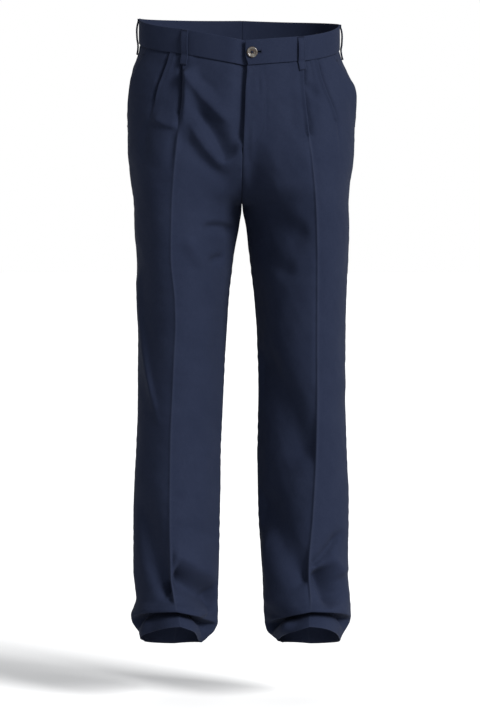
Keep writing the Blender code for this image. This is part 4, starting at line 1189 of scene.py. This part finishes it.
def stitch_row(shape, path, out_of, length=STITCH, gap=STITCH_GAP, radius=STITCH_RADIUS):
    """Stitches along a path of points, sunk where the thread goes through."""
    path = np.array(path)
    runs = lengths_along(path, 0)

    def at(run):
        return Vector([float(np.interp(run, runs, path[:, i])) for i in range(3)])

    place = gap / 2
    while place + length < runs[-1]:
        start = at(place)
        stitch(shape, start, at(place + length), out_of(start), radius)
        place += length + gap


def level_normal(point):
    """Straight out of the cloth, near enough for a stitch."""
    return Vector((point.x * 0.35, point.y, 0.0)).normalized()


def fly_stitches(finish):
    """The row that holds the fly: down beside the edge and round into it, like a J."""
    reach, turn_top, turn_bottom = 0.032, 0.135, 0.186
    route = []
    for down in np.linspace(WAIST_SEAM + 0.002, turn_bottom, 90):
        bend = max((down - turn_top) / (turn_bottom - turn_top), 0.0)
        arc = reach * math.sqrt(max(1 - bend**2, 0.0)) + 0.002 * bend
        route.append(cloth_point("left", down, arc, CLOTH / 2))
    shape = bmesh.new()
    stitch_row(shape, route, level_normal)
    sewn("stitches_fly", shape, finish)


def pocket_stitches(side, finish):
    """A row beside the pocket's mouth and a bar tack at each end of it."""

    def near_mouth(down, away, above=0.0):
        end = level_line(side, down).marks["side"] - SEAM_GAP / 2 - pocket_mouth(down)
        return cloth_point(side, down - above, end - away, float(pocket_gape(side, down, away)) + CLOTH / 2)

    shape = bmesh.new()
    downs = np.linspace(WAIST_SEAM + 0.004, POCKET_END - 0.006, 60)
    stitch_row(shape, [near_mouth(down, 0.0055) for down in downs], level_normal)
    for down in (WAIST_SEAM + 0.012, POCKET_END - 0.004):
        for k in range(9):
            low, high = (near_mouth(down, 0.0004 + 0.0007 * k, above) for above in (-0.0014, 0.0014))
            stitch(shape, low, high, level_normal(low), BAR_RADIUS)
    sewn("stitches_pocket_" + side, shape, finish)


def loop_stitches(name, points, finish):
    """Two rows along a belt loop, and bars across it where it is sewn down."""
    shape = bmesh.new()
    middle = [Vector(p) for p in points[:, LOOP_COLUMNS // 2]]
    alongs, outward = [], []
    for i, row in enumerate(points):
        ends = middle[max(i - 1, 0)], middle[min(i + 1, LOOP_ROWS - 1)]
        alongs.append((ends[1] - ends[0]).normalized())
        normal = Vector(row[-1] - row[0]).normalized().cross(alongs[-1]).normalized()
        outward.append(-normal if normal.dot(level_normal(middle[i])) < 0 else normal)

    def out_of(point):
        return outward[min(range(LOOP_ROWS), key=lambda i: (middle[i] - point).length)]

    def on_top(i, share):
        column = share * (LOOP_COLUMNS - 1)
        low = int(column)
        return Vector(blend(points[i, low], points[i, low + 1], column - low)) + outward[i] * LOOP_WALL / 2

    for share in (0.18, 0.82):
        route = [on_top(i, share) for i in range(1, LOOP_ROWS - 1)]
        stitch_row(shape, route, out_of, 0.0022, 0.0007, 0.0002)
    for i in (1, LOOP_ROWS - 2):
        for k in range(13):
            here, reach = on_top(i, 0.12 + 0.76 * k / 12), alongs[i] * 0.0009
            stitch(shape, here - reach, here + reach, outward[i], BAR_RADIUS)
    sewn("stitches_loop_" + name, shape, finish)


def buttonhole_stitches(finish):
    """Close loops of thread round the buttonhole's edge."""
    shape = bmesh.new()
    axes = slot_frame(BAND_WALL / 2 + 0.00025)
    half_x, half_y, reach = SLOT_LENGTH / 2, SLOT_SHOWN / 2, 0.0016
    ends = []
    for sign in (-1, 1):
        for x in np.linspace(-half_x, half_x, 34):
            ends.append(((x, sign * half_y, 0), (x + 0.0001, sign * (half_y + reach), 0)))
    for y in np.linspace(-half_y - reach, half_y + reach, 9):
        ends.append(((half_x, y, 0), (half_x + reach, y, 0)))
    for inner, outer in ends:
        stitch(shape, axes @ Vector(inner), axes @ Vector(outer), axes.col[2].to_3d(), EDGING_RADIUS)
    sewn("stitches_buttonhole", shape, finish)


# ---- materials ----
NAVY_DEEP = (0.0053, 0.0074, 0.0165, 1)
NAVY = (0.0074, 0.0102, 0.0215, 1)
# a paler navy: the top of the cloth's random tone, the hem's wear and the crease's painted highlight
NAVY_PALE = (0.0135, 0.0172, 0.0320, 1)
SHEEN_BLUE = (0.55, 0.62, 0.85, 1)
HORN_BROWN, HORN_DARK = (0.010, 0.004, 0.002, 1), (0.028, 0.018, 0.012, 1)
HORN_GREY, HORN_PALE = (0.060, 0.056, 0.048, 1), (0.110, 0.106, 0.096, 1)
STUDIO_WHITE = (0.62, 0.62, 0.62, 1)
RIB_PITCH = 0.00085
RIB_LEAN = 0.52


class Nodes:
    """The node tree of a material or a world, with short ways to add and join its nodes."""

    def __init__(self, owner):
        self.owner = owner
        owner.use_nodes = True
        self.tree = owner.node_tree

    def add(self, kind, inputs=(), **settings):
        node = self.tree.nodes.new(kind)
        for name, value in settings.items():
            setattr(node, name, value)
        for name, value in dict(inputs).items():
            self.feed(node.inputs[name], value)
        return node

    def feed(self, socket, value):
        if isinstance(value, bpy.types.NodeSocket):
            self.tree.links.new(value, socket)
        else:
            socket.default_value = value

    def surface(self, values, shader="Principled BSDF"):
        """Sets or joins the shader's inputs by name, and gives back the material or world."""
        for name, value in values.items():
            self.feed(self.tree.nodes[shader].inputs[name], value)
        return self.owner

    def math(self, operation, *values):
        return self.add("ShaderNodeMath", enumerate(values), operation=operation).outputs[0]

    def total(self, *parts):
        """The sum of values, each times its weight."""
        return reduce(lambda a, b: self.math("ADD", a, b), [self.math("MULTIPLY", *part) for part in parts])

    def where(self):
        return self.add("ShaderNodeTexCoord").outputs["Object"]

    def noise(self, vector, scale, detail, **more):
        inputs = {"Vector": vector, "Scale": scale, "Detail": detail, **more}
        return self.add("ShaderNodeTexNoise", inputs).outputs[0]

    def scaled(self, vector, scale, **more):
        return self.add("ShaderNodeMapping", {"Vector": vector, "Scale": scale, **more}).outputs[0]

    def mix(self, share, a, b):
        node = self.add("ShaderNodeMix", data_type="RGBA")
        for name, value in (("Factor", share), ("A", a), ("B", b)):
            self.feed(node.inputs[name], value)
        return node.outputs["Result"]

    def ramp(self, value, *stops):
        node = self.add("ShaderNodeValToRGB", {"Fac": value})
        elements = node.color_ramp.elements
        elements[0].position, elements[0].color = stops[0]
        elements[1].position, elements[1].color = stops[-1]
        for position, colour in stops[1:-1]:
            elements.new(position).color = colour
        return node.outputs["Color"]

    def bump(self, height, strength, distance):
        inputs = {"Height": height, "Strength": strength, "Distance": distance}
        return self.add("ShaderNodeBump", inputs).outputs[0]


def twill():
    """Navy cotton twill: steep diagonal ribs over fine yarns, slight slubs and a faint bloom."""
    n = Nodes(bpy.data.materials.new("navy_twill"))
    cut_map = n.add("ShaderNodeUVMap", uv_map="Cut").outputs[0]
    across, down = n.add("ShaderNodeSeparateXYZ", {"Vector": cut_map}).outputs[:2]
    slant = n.math("ADD", across, n.math("MULTIPLY", down, RIB_LEAN))
    ribs = n.math("MULTIPLY", slant, 2 * math.pi / RIB_PITCH)
    wobble = n.math("MULTIPLY", n.noise(cut_map, 420, 1), 2.2)
    rib = n.math("SINE", n.math("ADD", ribs, wobble))
    yarn = n.noise(n.scaled(cut_map, (2600, 380, 1)), 1, 2)
    slub = n.noise(n.scaled(cut_map, (260, 1500, 1)), 1, 2)
    where = n.where()
    cloud, fine_cloud = n.noise(where, 22, 4, Roughness=0.55), n.noise(where, 190, 3)
    height = n.total((rib, 0.5), (yarn, 0.9), (slub, 0.5))
    tone = n.total((rib, 0.10), (yarn, 0.45), (slub, 0.30), (cloud, 0.22), (fine_cloud, 0.12))
    colour = n.ramp(tone, (0.30, NAVY_DEEP), (0.56, NAVY), (0.85, NAVY_PALE))
    # painted highlight along the crease and real wear along the hem: a lighter colour and a lower roughness
    highlight_wear_share = n.add("ShaderNodeAttribute", attribute_name="highlight_and_wear").outputs["Fac"]
    return n.surface({
        "Base Color": n.mix(n.math("MULTIPLY", highlight_wear_share, 0.30), colour, NAVY_PALE),
        "Roughness": n.math("SUBTRACT", 0.86, n.math("MULTIPLY", highlight_wear_share, 0.22)),
        "Specular IOR Level": 0.04,
        "Sheen Weight": 0.008,
        "Sheen Roughness": 0.55,
        "Sheen Tint": SHEEN_BLUE,
        "Normal": n.bump(height, 0.35, 0.00012),
    })


def thread_finish():
    """Navy sewing thread, twisted, a little brighter than the cloth."""
    n = Nodes(bpy.data.materials.new("navy_thread"))
    twist = n.noise(n.where(), 2600, 2)
    return n.surface({
        "Base Color": n.ramp(twist, (0.3, NAVY_DEEP), (0.7, NAVY)),
        "Roughness": 0.62,
        "Specular IOR Level": 0.06,
        "Normal": n.bump(twist, 0.4, 0.00008),
    })


def horn():
    """Polished horn: dark brown and grey, clouded and streaked."""
    n = Nodes(bpy.data.materials.new("button_horn"))
    where = n.where()
    streak = n.noise(n.scaled(where, (90, 260, 90), Rotation=(0, 0, 0.6)), 1, 4, Distortion=1.4)
    tone = n.total((streak, 0.65), (n.noise(where, 110, 3), 0.35))
    stops = ((0.36, HORN_BROWN), (0.47, HORN_DARK), (0.56, HORN_GREY), (0.68, HORN_PALE))
    return n.surface({
        "Base Color": n.ramp(tone, *stops),
        "Roughness": 0.24,
        "Specular IOR Level": 0.35,
        "Coat Weight": 0.15,
        "Coat Roughness": 0.12,
    })


# ---- studio ----
FLOOR = -1.097
FAR_SIDE = (0.50, 0.54, 0.61, 1)  # the room on the side away from the key light
CAMERA_AT = Vector((-0.0033, -5.0, -0.300))
AIM = Vector((-0.0033, 0.0, -0.531))
VIEW_HEIGHT = 1.188  # of the plane through the middle of the trousers
SENSOR = 36.0


def make_camera():
    camera = placed("camera", bpy.data.cameras.new("camera"))
    camera.location = CAMERA_AT
    camera.rotation_euler = (AIM - CAMERA_AT).to_track_quat("-Z", "Y").to_euler()
    camera.data.sensor_width = SENSOR
    camera.data.lens = SENSOR * (AIM - CAMERA_AT).length / VIEW_HEIGHT
    bpy.context.scene.camera = camera


def sun_light(name, azimuth, elevation, spread, strength):
    """A soft light from far away: azimuth from the front towards the wearer's left, in degrees."""
    light = bpy.data.lights.new(name, "SUN")
    light.energy = strength
    light.angle = math.radians(spread)
    placed(name, light).rotation_euler = (math.radians(90 - elevation), 0, math.radians(azimuth))


def make_studio():
    """A plain pale floor, and a room that is a little dimmer on its far side."""
    bpy.ops.mesh.primitive_circle_add(vertices=64, radius=40, fill_type="NGON", location=(0, 0, FLOOR))
    floor = bpy.context.object
    floor.name = "studio_floor"
    paint = Nodes(bpy.data.materials.new("studio_white"))
    floor.data.materials.append(paint.surface({"Base Color": STUDIO_WHITE, "Roughness": 0.9}))
    n = Nodes(bpy.data.worlds.new("studio"))
    aim = n.add("ShaderNodeTexCoord").outputs["Generated"]
    sideways = n.add("ShaderNodeSeparateXYZ", {"Vector": aim}).outputs["X"]
    fall = n.ramp(n.math("MULTIPLY_ADD", sideways, 0.5, 0.5), (0.0, FAR_SIDE), (0.46, (1, 1, 1, 1)))
    bpy.context.scene.world = n.surface({"Color": fall, "Strength": 1.0}, "Background")
    bpy.context.scene.view_settings.view_transform = "Standard"
    sun_light("key", azimuth=46, elevation=26, spread=20, strength=7.0)


# ---- all of it ----
def main():
    make_camera()
    make_studio()
    cloth, thread = twill(), thread_finish()
    panels, bands = {}, {}
    for side in SIDES:
        for face in ("front", "back"):
            panels[face, side] = make_panel(face, side, cloth)
        panels["facing", side] = make_facing(side, cloth)
        bands[side] = make_band(side, cloth)
        marks = level_line(side, WAIST_SEAM).marks
        places = (
            ("front", marks["front"] - FRONT_LOOP_INSIDE),
            ("side", marks["side"] + SIDE_LOOP_BEHIND),
            ("back", blend(marks["side"], marks["seat"], BACK_LOOP_SHARE)),
        )
        for name, arc in places:
            loop, points = make_loop(f"{name}_{side}", side, arc, cloth)
            loop_stitches(f"{name}_{side}", points, thread)
    loop, points = make_loop("centre_back", "left", level_line("left", WAIST_SEAM).marks["seat"], cloth)
    loop_stitches("centre_back", points, thread)
    cut_buttonhole(bands["left"])
    buttonhole_stitches(thread)
    make_button(horn())
    make_button_thread(thread)
    fly_stitches(thread)
    for side in SIDES:
        pocket_stitches(side, thread)


main()
